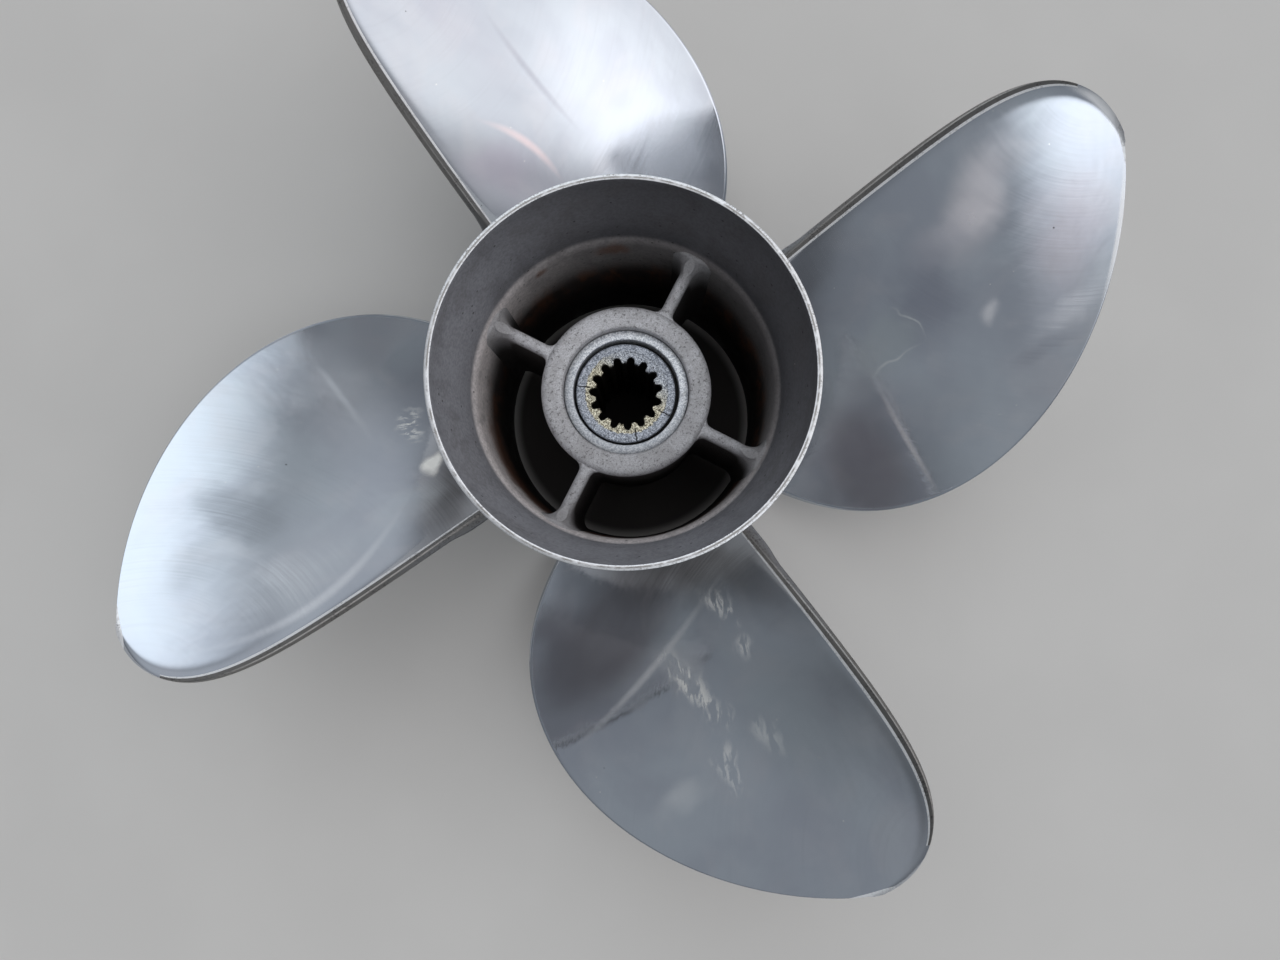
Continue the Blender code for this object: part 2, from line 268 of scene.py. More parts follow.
class NodeSheet:
    """Lays out the nodes of one shader and joins them."""

    def __init__(self, tree: bpy.types.NodeTree, shader: str) -> None:
        """Starts with the shader that a new node tree holds."""
        self.tree = tree
        self.shader = tree.nodes[shader]

    def feed(self, socket: bpy.types.NodeSocket, value: Value) -> None:
        """Links a wire to an input, or sets the input's own number or colour.

        Args:
            socket: The input.
            value: A wire, a number, or a tuple.
        """
        if isinstance(value, Wire):
            self.tree.links.new(value.socket, socket)
        elif isinstance(value, tuple) and socket.type == "RGBA":
            socket.default_value = (*value, 1.0)
        else:
            socket.default_value = value

    def node(self, kind: str, inputs: dict, settings: Optional[dict] = None) -> bpy.types.Node:
        """Adds a node.

        Args:
            kind: The node's type name in Blender.
            inputs: What its inputs get, by name or by place.
            settings: Properties of the node.

        Returns:
            The node.
        """
        made = self.tree.nodes.new(kind)
        for key, value in (settings or {}).items():
            setattr(made, key, value)
        for key, value in inputs.items():
            self.feed(made.inputs[key], value)
        return made

    def wire(self, kind: str, output: Union[str, int], inputs: dict, settings: Optional[dict] = None) -> Wire:
        """Adds a node and returns one of its outputs."""
        return Wire(self, self.node(kind, inputs, settings).outputs[output])

    def sum(self, operation: str, *terms: Value) -> Wire:
        """Returns one step of Blender's arithmetic on numbers."""
        return self.wire("ShaderNodeMath", 0, dict(enumerate(terms)), {"operation": operation})

    def vector_sum(self, operation: str, *terms: Value, output: str = "Vector") -> Wire:
        """Returns one step of Blender's arithmetic on vectors."""
        return self.wire("ShaderNodeVectorMath", output, dict(enumerate(terms)), {"operation": operation})

    def vector(self, x: Value, y: Value, z: Value) -> Wire:
        """Returns a vector of three parts."""
        return self.wire("ShaderNodeCombineXYZ", "Vector", {"X": x, "Y": y, "Z": z})

    def mix(self, share: Value, first: Value, second: Value) -> Wire:
        """Returns two colours mixed by a share."""
        return self.wire("ShaderNodeMix", 2, {0: share, 6: first, 7: second}, {"data_type": "RGBA"})

    def set(self, **inputs: Value) -> None:
        """Feeds inputs of the shader, with a low line for each space in a name."""
        for name, value in inputs.items():
            self.feed(self.shader.inputs[name.replace("_", " ")], value)


class FinishSheet(NodeSheet):
    """The nodes of one material, and the tone that its coats have made so far."""

    def __init__(self, name: str, tone: tuple) -> None:
        """Starts a material that holds one Principled shader.

        Args:
            name: The material's name.
            tone: The colour under all its coats.
        """
        self.material = bpy.data.materials.new(name)
        self.material.use_nodes = True
        self.tone: Value = tone
        super().__init__(self.material.node_tree, "Principled BSDF")

    def place(self) -> Wire:
        """Returns the place on the object, in metres."""
        return self.wire("ShaderNodeTexCoord", "Object", {})

    def coat(self, share: Value, colour: Value) -> None:
        """Lays a colour over the tone by a share."""
        self.tone = self.mix(share, self.tone, colour)

    def finished(self, metal: Value, rough: Value, normal: Optional[Wire] = None) -> Material:
        """Feeds the shader.

        Args:
            metal: How far the surface is metal.
            rough: How rough it is.
            normal: The bent normal, where there is a bump.

        Returns:
            The material.
        """
        self.set(Base_Color=self.tone, Metallic=metal, Roughness=rough)
        if normal is not None:
            self.set(Normal=normal)
        return self.material


@dataclass(frozen=True)
class Patch:
    """A patch of dulled, brushed or stained steel, or of painted shade, reflection or glint, placed as it
    lies on the first blade.

    Its size is half its width across, and stretch is how many times longer it is along its turn. Dull is how
    much rougher it is, stain how far its tone covers the steel, and soft the share of it that fades out.
    Brush is how far the buffing marks show in it, and a broken one is broken up like a smudge. A straight
    one keeps its plain outline; the others wander. Bend is how far its ends curve to the side, in half
    widths, and film how far it is a dry film that hides the metal.
    """

    x: float
    y: float
    size: float
    dull: float
    stain: float
    tone: tuple
    stretch: float
    turn: float
    soft: float = 0.85
    brush: float = 0.3
    broken: bool = False
    straight: bool = False
    bend: float = 0.0
    film: float = 0.0

    def away(self, local: Wire) -> Wire:
        """Says how far out of the patch a place is.

        Args:
            local: The place on the piece, turned back to the first blade.

        Returns:
            0 in the middle and 1 on the outline.
        """
        scale = (self.size * self.stretch, self.size, ENDLESS)
        seen = local.framed((self.x, self.y, 0.0), (0.0, 0.0, self.turn), scale)
        if self.bend:
            along, across, _ = seen.parts()
            seen = local.sheet.vector(along, across - along * along * self.bend, 0.0)
        return seen.reach(ORIGIN)


def smudge_and_glint(x: float, y: float, size: float, stain: float, tone: tuple, stretch: float, turn: float,
           film: float, dull: float = 0.14) -> Patch:
    """Returns a broken smudge of dry film; a bright one near a blade's root is a painted glint."""
    return Patch(x, y, size, dull, stain, tone, stretch, turn, 0.9, broken=True, film=film)


def painted_reflection(x: float, y: float, size: float, dull: float, stain: float, tone: tuple, stretch: float,
          turn: float, soft: float, bend: float = 0.0, film: float = 0.0) -> Patch:
    """Returns a painted reflection, light or dark: a patch, or a line where it is thin, that keeps its plain
    outline.
    """
    return Patch(x, y, size, dull, stain, tone, stretch, turn, soft, straight=True, bend=bend, film=film)


@dataclass(frozen=True)
class BuffedSteel:
    """Polished stainless steel with buffing marks, soft haze, dust, and patches of stain and film, with
    painted shade, painted reflections and painted glints among them.
    """

    name: str
    grain: Grain = Grain.ARCS
    turn: float = 0.0
    centre: tuple = (0.175, 0.085, 0.1)
    seed: float = 0.0
    colour: tuple = (0.585, 0.632, 0.69)
    shade: tuple = (0.505, 0.537, 0.602)
    bloom: tuple = (0.76, 0.73, 0.75)
    scuff: tuple = (0.4, 0.42, 0.46)
    dust: tuple = (0.86, 0.86, 0.83)
    pit: tuple = (0.06, 0.05, 0.045)
    smooth: float = 0.045
    dull: float = 0.125
    stroke: tuple = (150.0, 420.0, 280.0)
    stroke_turn: float = -0.66322512
    smoothest: float = 0.06
    dullest: float = 0.255
    stains_and_painted_light: tuple = ()

    def lines(self, local: Wire, seeded: Wire) -> Wire:
        """Stretches the place so that noise on it runs in fine lines.

        Args:
            local: The place on the piece, turned back to the first blade.
            seeded: The same place, shifted by the seed.

        Returns:
            The stretched place.
        """
        if self.grain is Grain.ROUND:
            return seeded.mapped(scale=(16.0, 16.0, 1800.0))
        x, y, _ = seeded.parts()
        return local.sheet.vector(local.reach(self.centre) * 1500.0, x * 26.0, y * 26.0)

    def material(self) -> Material:
        """Lays out the finish.

        Returns:
            The material.
        """
        sheet = FinishSheet(self.name, self.shade)
        local = sheet.place().mapped(-self.turn)
        seeded = local.mapped(shift=(self.seed, 2.3 * self.seed, 0.7 * self.seed))
        streak = self.lines(local, seeded).cloud(1.0, 2.0, 0.6)
        haze = seeded.cloud(21.0, 4.0, 0.5, 0.4)
        mottle = seeded.mapped(shift=(3.1, 1.7, 0.4)).cloud(60.0, 3.0, 0.5, 0.5)
        grit = seeded.cloud(700.0, 3.0, 0.7)
        brushed = streak - 0.5
        sheet.coat(haze.ease(0.34, 0.66), self.colour)
        sheet.coat(mottle.ease(0.44, 0.72, 0.0, 0.16), self.bloom)
        sheet.coat(streak.ease(0.5, 0.8, 0.0, 0.08), self.scuff)
        rough = haze.ease(0.32, 0.7, self.smooth, self.dull) + mottle.ease(0.44, 0.74, 0.0, 0.06)
        stroke = seeded.mapped(self.stroke_turn, scale=self.stroke)
        dabs = stroke.cloud(1.0, 3.0, 0.55, 0.5).ease(0.46, 0.62)
        loose = local.stirred(60.0, 0.0065, 2.5)
        shine: Value = 1.0
        for patch in self.stains_and_painted_light:
            inside = patch.away(local if patch.straight else loose).fade(1.0 - patch.soft, 1.0)
            if patch.broken:
                inside = inside * dabs
            worn_and_painted = inside * brushed.scaled(patch.brush, 1.0)
            rough = worn_and_painted.scaled(patch.dull, rough)
            # The patches' tones paint shade at the blade roots, reflections and glints, as well as real
            # stains and film.
            sheet.coat(worn_and_painted * patch.stain, patch.tone)
            if patch.film:
                shine = shine - inside * patch.film
        sheet.coat(seeded.specks(165.0, 0.05, 0.4) * 0.7, self.dust)
        sheet.coat(seeded.mapped(shift=(0.9, 0.2, 0.5)).specks(90.0, 0.03, 0.22), self.pit)
        rough = (grit - 0.5).scaled(0.06, brushed.scaled(0.1, rough))
        wave = haze.bump(0.45, 0.00045)
        return sheet.finished(shine, rough.held(self.smoothest, self.dullest),
                              streak.bump(0.35, 0.000012, wave))


@dataclass(frozen=True)
class GroundEdge:
    """A bare edge, ground flat and nicked, with a dirty score round the middle of a rim."""

    name: str
    colour: tuple = (0.66, 0.67, 0.69)
    dirt: tuple = (0.2, 0.19, 0.18)
    dirt_share: float = 0.8
    smooth: float = 0.28
    dull: float = 0.52
    score_r: float = 0.0
    score_half: float = 0.00038
    score_share: float = 0.85
    metal: float = 1.0

    def material(self) -> Material:
        """Lays out the finish.

        Returns:
            The material.
        """
        sheet = FinishSheet(self.name, self.colour)
        place = sheet.place()
        grit = place.cloud(1700.0, 2.0, 0.6)
        stain = place.cloud(150.0, 3.0, 0.6)
        sheet.coat(grit.ease(0.5, 0.64) * stain.ease(0.38, 0.62) * self.dirt_share, self.dirt)
        if self.score_r:
            off = abs(place.radius() - self.score_r) + (grit - 0.5) * 0.0006
            score = off.fade(self.score_half * 0.3, self.score_half) * stain.ease(0.34, 0.52)
            sheet.coat(score * self.score_share, self.dirt)
        rough = grit.ease(0.3, 0.7, self.smooth, self.dull)
        return sheet.finished(self.metal, rough, grit.bump(0.5, 0.00005))


@dataclass(frozen=True)
class SootedSteel:
    """Blasted steel inside the exhaust: grey at the flare, then sooty and rusty with depth, with painted
    shade on one side.
    """

    name: str
    flare: tuple = (0.36, 0.365, 0.4)
    ledge: tuple = (0.86, 0.8, 0.79)
    shade: tuple = (0.066, 0.062, 0.066)
    smoke: tuple = (0.13, 0.126, 0.136)
    soot: tuple = (0.022, 0.018, 0.017)
    brown: tuple = (0.08, 0.058, 0.052)
    rust: tuple = (0.27, 0.115, 0.062)
    blotch: tuple = (0.11, 0.1, 0.098)
    pit: tuple = (0.02, 0.018, 0.018)
    fleck: tuple = (0.62, 0.6, 0.56)
    grime: tuple = (0.06, 0.058, 0.06)
    ledge_top: float = 0.0945
    ledge_half: float = 0.002
    rust_top: float = 0.074
    rust_foot: float = 0.054
    soot_top: float = 0.058
    soot_foot: float = 0.024
    painted_shade_side: float = 27.0
    rust_spots: tuple = ((-0.0158, 0.0487, 0.088, 0.0042), (0.011, 0.05, 0.085, 0.009),
                         (-0.0508, -0.006, 0.06, 0.024), (-0.043, -0.028, 0.052, 0.024))

    def material(self) -> Material:
        """Lays out the finish.

        Returns:
            The material.
        """
        sheet = FinishSheet(self.name, self.ledge)
        place = sheet.place()
        height = place.parts()[2]
        grain = place.cloud(900.0, 3.0, 0.65)
        stain = place.cloud(60.0, 4.0, 0.6, 0.5)
        smear = place.mapped(scale=(1.0, 1.0, 0.35)).cloud(130.0, 4.0, 0.6)
        level = height + (stain - 0.5) * 0.012
        above = height.ease(self.ledge_top - self.ledge_half, self.ledge_top + self.ledge_half)
        sheet.coat(above, self.flare)
        # Painted shade: the wall on the side towards painted_shade_side is darkened.
        sheet.coat(place.along(self.painted_shade_side).ease(-0.03, 0.05, 0.0, 0.7), self.shade)
        sheet.coat(smear.ease(0.48, 0.7, 0.0, 0.3), self.smoke)
        browned = sheet.mix(smear.ease(0.42, 0.66), self.brown, self.rust)
        sheet.coat(level.fade(self.rust_foot, self.rust_top), browned)
        sheet.coat(level.fade(self.soot_foot, self.soot_top), self.soot)
        for x, y, z, size in self.rust_spots:
            ragged = place.reach((x, y, z)) + (smear - 0.5) * (size * 1.6)
            sheet.coat(ragged.fade(size * 0.25, size) * 0.62, self.rust)
        sheet.coat(stain.ease(0.45, 0.68) * 0.3, self.blotch)
        sheet.coat(place.specks(300.0, 0.16, 0.3) * 0.75, self.pit)
        sheet.coat(place.mapped(shift=(0.4, 0.1, 0.2)).specks(150.0, 0.05, 0.25) * 0.8, self.fleck)
        sheet.coat(grain.ease(0.35, 0.7) * 0.3, self.grime)
        lumps = stain.bump(0.35, 0.0008)
        return sheet.finished(0.35, stain.ease(0.3, 0.7, 0.52, 0.74), grain.bump(0.45, 0.00012, lumps))


@dataclass(frozen=True)
class SandCast:
    """A bare sand-cast surface, light grey and pitted at the top and sooty lower down, with painted shade on
    one side and near the barrel wall.
    """

    name: str
    light: tuple = (0.72, 0.72, 0.75)
    mid: tuple = (0.46, 0.45, 0.46)
    pit: tuple = (0.055, 0.048, 0.045)
    soot: tuple = (0.026, 0.021, 0.02)
    clean_above: float = 0.0891
    sooty_below: float = 0.083
    wall: tuple = (0.3, 0.29, 0.295)
    wall_near: float = 0.0405
    wall_r: float = 0.0475
    wall_slow: float = 0.22
    bright_side: float = 72.0

    def material(self) -> Material:
        """Lays out the finish.

        Returns:
            The material.
        """
        sheet = FinishSheet(self.name, self.light)
        place = sheet.place()
        height = place.parts()[2]
        grain = place.cloud(900.0, 4.0, 0.75)
        fine = place.mapped(shift=(0.3, 0.6, 0.1)).cloud(1900.0, 2.0, 0.7)
        stain = place.cloud(150.0, 4.0, 0.65, 0.4)
        sheet.coat(stain.ease(0.38, 0.66, 0.0, 0.65), self.mid)
        sheet.coat(fine.ease(0.42, 0.6, 0.0, 0.6), self.mid)
        # Painted shade: the side away from bright_side is darkened with the pit colour.
        sheet.coat(place.along(self.bright_side).ease(-0.03, 0.03, 0.32, 0.0), self.pit)
        sheet.coat(grain.ease(0.54, 0.62) * stain.ease(0.3, 0.5) * 0.6, self.pit)
        away = place.radius()
        # Painted shade: darker grey on the ribs near the barrel wall.
        sheet.coat(away.ease(self.wall_near, self.wall_r, 0.0, 0.7), self.wall)
        deep = self.clean_above - (height + (stain - 0.5) * 0.004)
        deep = deep * away.ease(self.wall_near, self.wall_r, 1.0, self.wall_slow)
        sheet.coat(deep.ease(0.0, self.clean_above - self.sooty_below, 0.0, 0.97), self.soot)
        lumps = grain.bump(0.75, 0.0003)
        return sheet.finished(0.25, fine.ease(0.3, 0.7, 0.58, 0.8), fine.bump(0.35, 0.00006, lumps))


@dataclass(frozen=True)
class PressedSteel:
    """The bushing's steel ring: bluish, crystalline and lightly scored, with painted shade on one side."""

    name: str
    light: tuple = (0.96, 0.98, 1.0)
    mid: tuple = (0.43, 0.46, 0.51)
    shade: tuple = (0.09, 0.1, 0.12)
    stained: tuple = (0.16, 0.17, 0.19)
    bright_side: float = 42.0

    def material(self) -> Material:
        """Lays out the finish.

        Returns:
            The material.
        """
        sheet = FinishSheet(self.name, self.mid)
        place = sheet.place()
        sparkle = place.cloud(1500.0, 3.0, 0.75)
        sheet.coat(sparkle.ease(0.38, 0.62), self.light)
        # Painted shade on the side away from bright_side.
        sheet.coat(place.along(self.bright_side).ease(-0.02, 0.02, 0.42, 0.0), self.shade)
        sheet.coat(place.cloud(260.0, 4.0, 0.65).ease(0.5, 0.7) * 0.45, self.stained)
        return sheet.finished(0.7, sparkle.ease(0.3, 0.7, 0.34, 0.6), sparkle.bump(0.7, 0.00016))


@dataclass(frozen=True)
class AgedRubber:
    """The bushing's black rubber, dusty and dull."""

    name: str
    colour: tuple = (0.018, 0.018, 0.02)
    dusty: tuple = (0.06, 0.057, 0.055)

    def material(self) -> Material:
        """Lays out the finish.

        Returns:
            The material.
        """
        sheet = FinishSheet(self.name, self.colour)
        dust = sheet.place().cloud(700.0, 3.0, 0.6)
        sheet.coat(dust.ease(0.45, 0.75), self.dusty)
        return sheet.finished(0.0, dust.ease(0.3, 0.7, 0.62, 0.85), dust.bump(0.4, 0.00008))


@dataclass(frozen=True)
class ChewedBrass:
    """The splined sleeve: chewed pale brass round the teeth, a grey crust with cracks, and painted shade down
    the bore.
    """

    name: str
    brass: tuple = (0.84, 0.8, 0.64)
    brass_dark: tuple = (0.13, 0.11, 0.07)
    crust: tuple = (0.19, 0.21, 0.255)
    crust_light: tuple = (0.62, 0.66, 0.73)
    crust_dark: tuple = (0.1, 0.11, 0.13)
    crack: tuple = (0.012, 0.011, 0.011)
    bore_painted_shade: tuple = (0.03, 0.024, 0.02)
    face: float = 0.0855
    border: float = 0.0144
    cracks: tuple = (154.0, -46.0, -95.5)
    bright_side: float = -140.0

    def cut(self, place: Wire, wobble: Wire, turn: float) -> Wire:
        """Says where a crack lies.

        Args:
            place: The place on the piece.
            wobble: How far the crack strays to the side.
            turn: The direction that it runs out in, in degrees.

        Returns:
            1 in the crack and 0 elsewhere.
        """
        x, y, _ = place.parts()
        off = abs(y * math.cos(math.radians(turn)) - x * math.sin(math.radians(turn)) + wobble)
        return off.fade(0.00008, 0.00026) * place.along(turn).ease(0.012, 0.0136)

    def material(self) -> Material:
        """Lays out the finish.

        Returns:
            The material.
        """
        sheet = FinishSheet(self.name, self.brass_dark)
        place = sheet.place()
        fine = place.cloud(2100.0, 3.0, 0.7)
        lumps = place.cloud(620.0, 3.0, 0.6)
        sheet.coat(fine.ease(0.42, 0.6), self.brass)
        crusted = sheet.mix(fine.ease(0.42, 0.62), self.crust, self.crust_light)
        crusted = sheet.mix(lumps.ease(0.5, 0.66, 0.0, 0.55), crusted, self.crust_dark)
        ragged = place.radius() + (lumps - 0.5) * 0.0022
        outer = ragged.ease(self.border - 0.0003, self.border + 0.0003)
        dulled = place.along(self.bright_side).ease(-0.0115, 0.0, 0.92, 0.0)
        sheet.coat(outer.most(dulled), crusted)
        wobble = (place.cloud(420.0, 3.0, 0.6) - 0.5) * 0.0018
        split = reduce(Wire.most, [self.cut(place, wobble, turn) for turn in self.cracks])
        sheet.coat(split * 0.92, self.crack)
        # Painted shade: near black down the bore below the end face.
        sheet.coat(place.parts()[2].fade(self.face - 0.003, self.face - 0.0006) * 0.96, self.bore_painted_shade)
        metal = ragged.ease(self.border - 0.0004, self.border + 0.0006, 0.85, 0.3)
        deep = (1.0 - split).bump(0.8, 0.0003, lumps.bump(0.8, 0.0007))
        return sheet.finished(metal, fine.ease(0.3, 0.7, 0.24, 0.5), fine.bump(0.5, 0.00012, deep))


@dataclass(frozen=True)
class PaleFloor:
    """The plain pale floor, with a painted shadow in a dark disc under the hub, where the exhaust passages
    open onto it.
    """

    name: str = "pale_floor"
    colour: tuple = (0.57, 0.558, 0.541)
    painted_shadow: tuple = (0.055, 0.05, 0.048)
    painted_shadow_r: float = 0.053

    def material(self) -> Material:
        """Lays out the finish.

        Returns:
            The material.
        """
        sheet = FinishSheet(self.name, self.colour)
        place = sheet.place()
        light = tuple(1.04 * part for part in self.colour)
        sheet.coat(place.cloud(9.0, 3.0, 0.5).ease(0.35, 0.65), light)
        # Painted shadow: a dark disc on the floor under the hub.
        sheet.coat(place.radius().fade(self.painted_shadow_r - 0.006, self.painted_shadow_r), self.painted_shadow)
        return sheet.finished(0.0, 0.85)


@dataclass(frozen=True)
class Corner:
    """A corner of a turned outline, with the length by which it is eased."""

    radius: float
    height: float
    ease: float = 0.0
    steps: int = 3


def turned(outline: Sequence[Corner], steps: int) -> Mesh:
    """Turns a closed outline round the shaft axis.

    Args:
        outline: Its corners in order.
        steps: How many steps make the full turn.

    Returns:
        The closed turned shape.
    """
    bm = bmesh.new()
    points = [bm.verts.new((corner.radius, 0.0, corner.height)) for corner in outline]
    for here, there in zip(points, points[1:] + points[:1]):
        bm.edges.new((here, there))
    for point, corner in zip(points, outline):
        if corner.ease > 0.0:
            bmesh.ops.bevel(bm, geom=[point], offset=corner.ease, offset_type="OFFSET", segments=corner.steps,
                            profile=0.5, affect="VERTICES", material=-1)
    bmesh.ops.spin(bm, geom=bm.verts[:] + bm.edges[:], cent=ORIGIN, axis=(0.0, 0.0, 1.0), dvec=ORIGIN,
                   angle=math.tau, steps=steps, use_merge=True, use_duplicate=False)
    bmesh.ops.remove_doubles(bm, verts=bm.verts[:], dist=1e-7)
    bmesh.ops.recalc_face_normals(bm, faces=bm.faces[:])
    return bm


def gridded_block(cuts: tuple[int, int, int]) -> Mesh:
    """Makes a cube of side 1 about the origin, cut into rows along each axis.

    Args:
        cuts: The rows along x, y and z.

    Returns:
        The cut cube.
    """
    bm = bmesh.new()
    bmesh.ops.create_cube(bm, size=1.0)
    for axis, rows in enumerate(cuts):
        edges = [e for e in bm.edges if abs((e.verts[0].co - e.verts[1].co)[axis]) > 1e-6]
        bmesh.ops.subdivide_edges(bm, edges=edges, cuts=rows - 1, use_grid_fill=True)
    return bm


def turn_round(bm: Mesh, angle: float) -> None:
    """Turns a mesh about the shaft and points its faces outwards.

    Args:
        bm: The mesh.
        angle: The angle in radians.
    """
    turn = Matrix.Rotation(angle, 3, "Z")
    bmesh.ops.rotate(bm, verts=bm.verts[:], cent=ORIGIN, matrix=turn)
    bmesh.ops.recalc_face_normals(bm, faces=bm.faces[:])


def finish_faces(bm: Mesh, rule: Callable[[bmesh.types.BMFace], int]) -> None:
    """Gives each face the number of its finish, as the rule says."""
    for face in bm.faces:
        face.material_index = rule(face)


def make_object(name: str, bm: Mesh, finishes: Finishes) -> bpy.types.Object:
    """Turns a mesh into an object of the scene.

    Args:
        name: The object's name.
        bm: Its mesh, which is used up.
        finishes: Its materials, in the order of the faces' numbers.

    Returns:
        The object.
    """
    mesh = bpy.data.meshes.new(name)
    bm.to_mesh(mesh)
    bm.free()
    for finish in finishes:
        mesh.materials.append(finish)
    made = bpy.data.objects.new(name, mesh)
    bpy.context.scene.collection.objects.link(made)
    return made


def make_piece(name: str, bm: Mesh, finishes: Finishes, node: str,
               sharp: float = 34.0) -> None:
    """Turns a mesh into a piece that stands for a solid.

    Args:
        name: The piece's name.
        bm: Its mesh, which is used up.
        finishes: Its materials, in the order of the faces' numbers.
        node: The solid that it replaces.
        sharp: The angle in degrees from which an edge stays sharp.
    """
    piece = make_object(name, bm, finishes)
    mesh = piece.data
    mesh.shade_smooth()
    mesh.set_sharp_from_angle(angle=math.radians(sharp))
    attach(piece, BODY)
    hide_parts(node)
    LOG.info("%s stands for %s, with %d faces", name, node, len(mesh.polygons))


@dataclass
class HubShell:
    """The outer barrel and its flared aft end."""

    length: float = 0.133
    outer_r: float = 0.055
    bore_r: float = 0.0512
    split_z: float = 0.096
    crease_r: float = 0.0528
    crease_z: float = 0.0943
    shoulder_z: float = 0.0915
    rim_r: float = 0.06
    rim_bore_r: float = 0.0583
    edge: float = 0.0008
    rim_edge: float = 0.00025
    flat_from: float = 0.45
    flare_rows: int = 14
    steps: int = 224
    outside: Material = field(init=False)
    inside: Material = field(init=False)
    bare: Material = field(init=False)

    def __post_init__(self) -> None:
        """Makes the finishes."""
        self.outside = BuffedSteel("buffed_barrel", grain=Grain.ROUND, seed=0.61, colour=(0.4, 0.4, 0.42),
                                   shade=(0.29, 0.29, 0.305), smooth=0.13, dull=0.28).material()
        self.inside = SootedSteel("sooted_bore").material()
        self.bare = GroundEdge("bare_rim", score_r=0.059).material()

    def barrel_outline(self) -> list[Corner]:
        """Lays out the straight barrel, with the shoulder that carries the ribs' ends.

        Returns:
            The corners of its section.
        """
        return [
            Corner(self.outer_r, self.split_z),
            Corner(self.outer_r, 0.0, self.edge),
            Corner(self.bore_r, 0.0, self.edge),
            Corner(self.bore_r, self.shoulder_z, 0.0022, 6),
            Corner(self.crease_r, self.crease_z, 0.0014, 5),
            Corner(self.crease_r, self.split_z),
        ]

    def flare_side(self, foot_r: float, rim_r: float) -> list[Corner]:
        """Lays out one side of the flare, curving in from the rim.

        Args:
            foot_r: Its radius where the barrel ends.
            rim_r: Its radius at the rim.

        Returns:
            The corners from the rim down.
        """
        side = []
        for row in range(self.flare_rows + 1):
            share = row / self.flare_rows
            swing = 0.5 + 0.5 * math.cos(math.pi * share)
            height = self.length + (self.split_z - self.length) * share
            side.append(Corner(foot_r + (rim_r - foot_r) * swing, height, 0.0 if row else self.rim_edge, 2))
        return side

    def finish_of(self, face: bmesh.types.BMFace) -> int:
        """Says which finish a face has.

        Args:
            face: The face, in its place.

        Returns:
            0 for the outside, 1 for the inside and 2 for the bare ends.
        """
        middle = face.calc_center_median()
        out = Vector((middle.x, middle.y, 0.0)).normalized().dot(face.normal)
        flat = abs(face.normal.z) > self.flat_from
        if flat and (middle.z > self.length - self.edge or (middle.z < self.edge and out > -0.1)):
            return 2
        return 0 if out > 0.0 else 1

    def build(self) -> None:
        """Builds the two pieces."""
        finishes = [self.outside, self.inside, self.bare]
        barrel = turned(self.barrel_outline(), self.steps)
        finish_faces(barrel, self.finish_of)
        make_piece("barrel_casting", barrel, finishes, "outer_barrel")
        inner = self.flare_side(self.crease_r, self.rim_bore_r)
        flare = turned(self.flare_side(self.outer_r, self.rim_r) + inner[::-1], self.steps)
        finish_faces(flare, self.finish_of)
        make_piece("flare_casting", flare, finishes, "diffuser_ring")


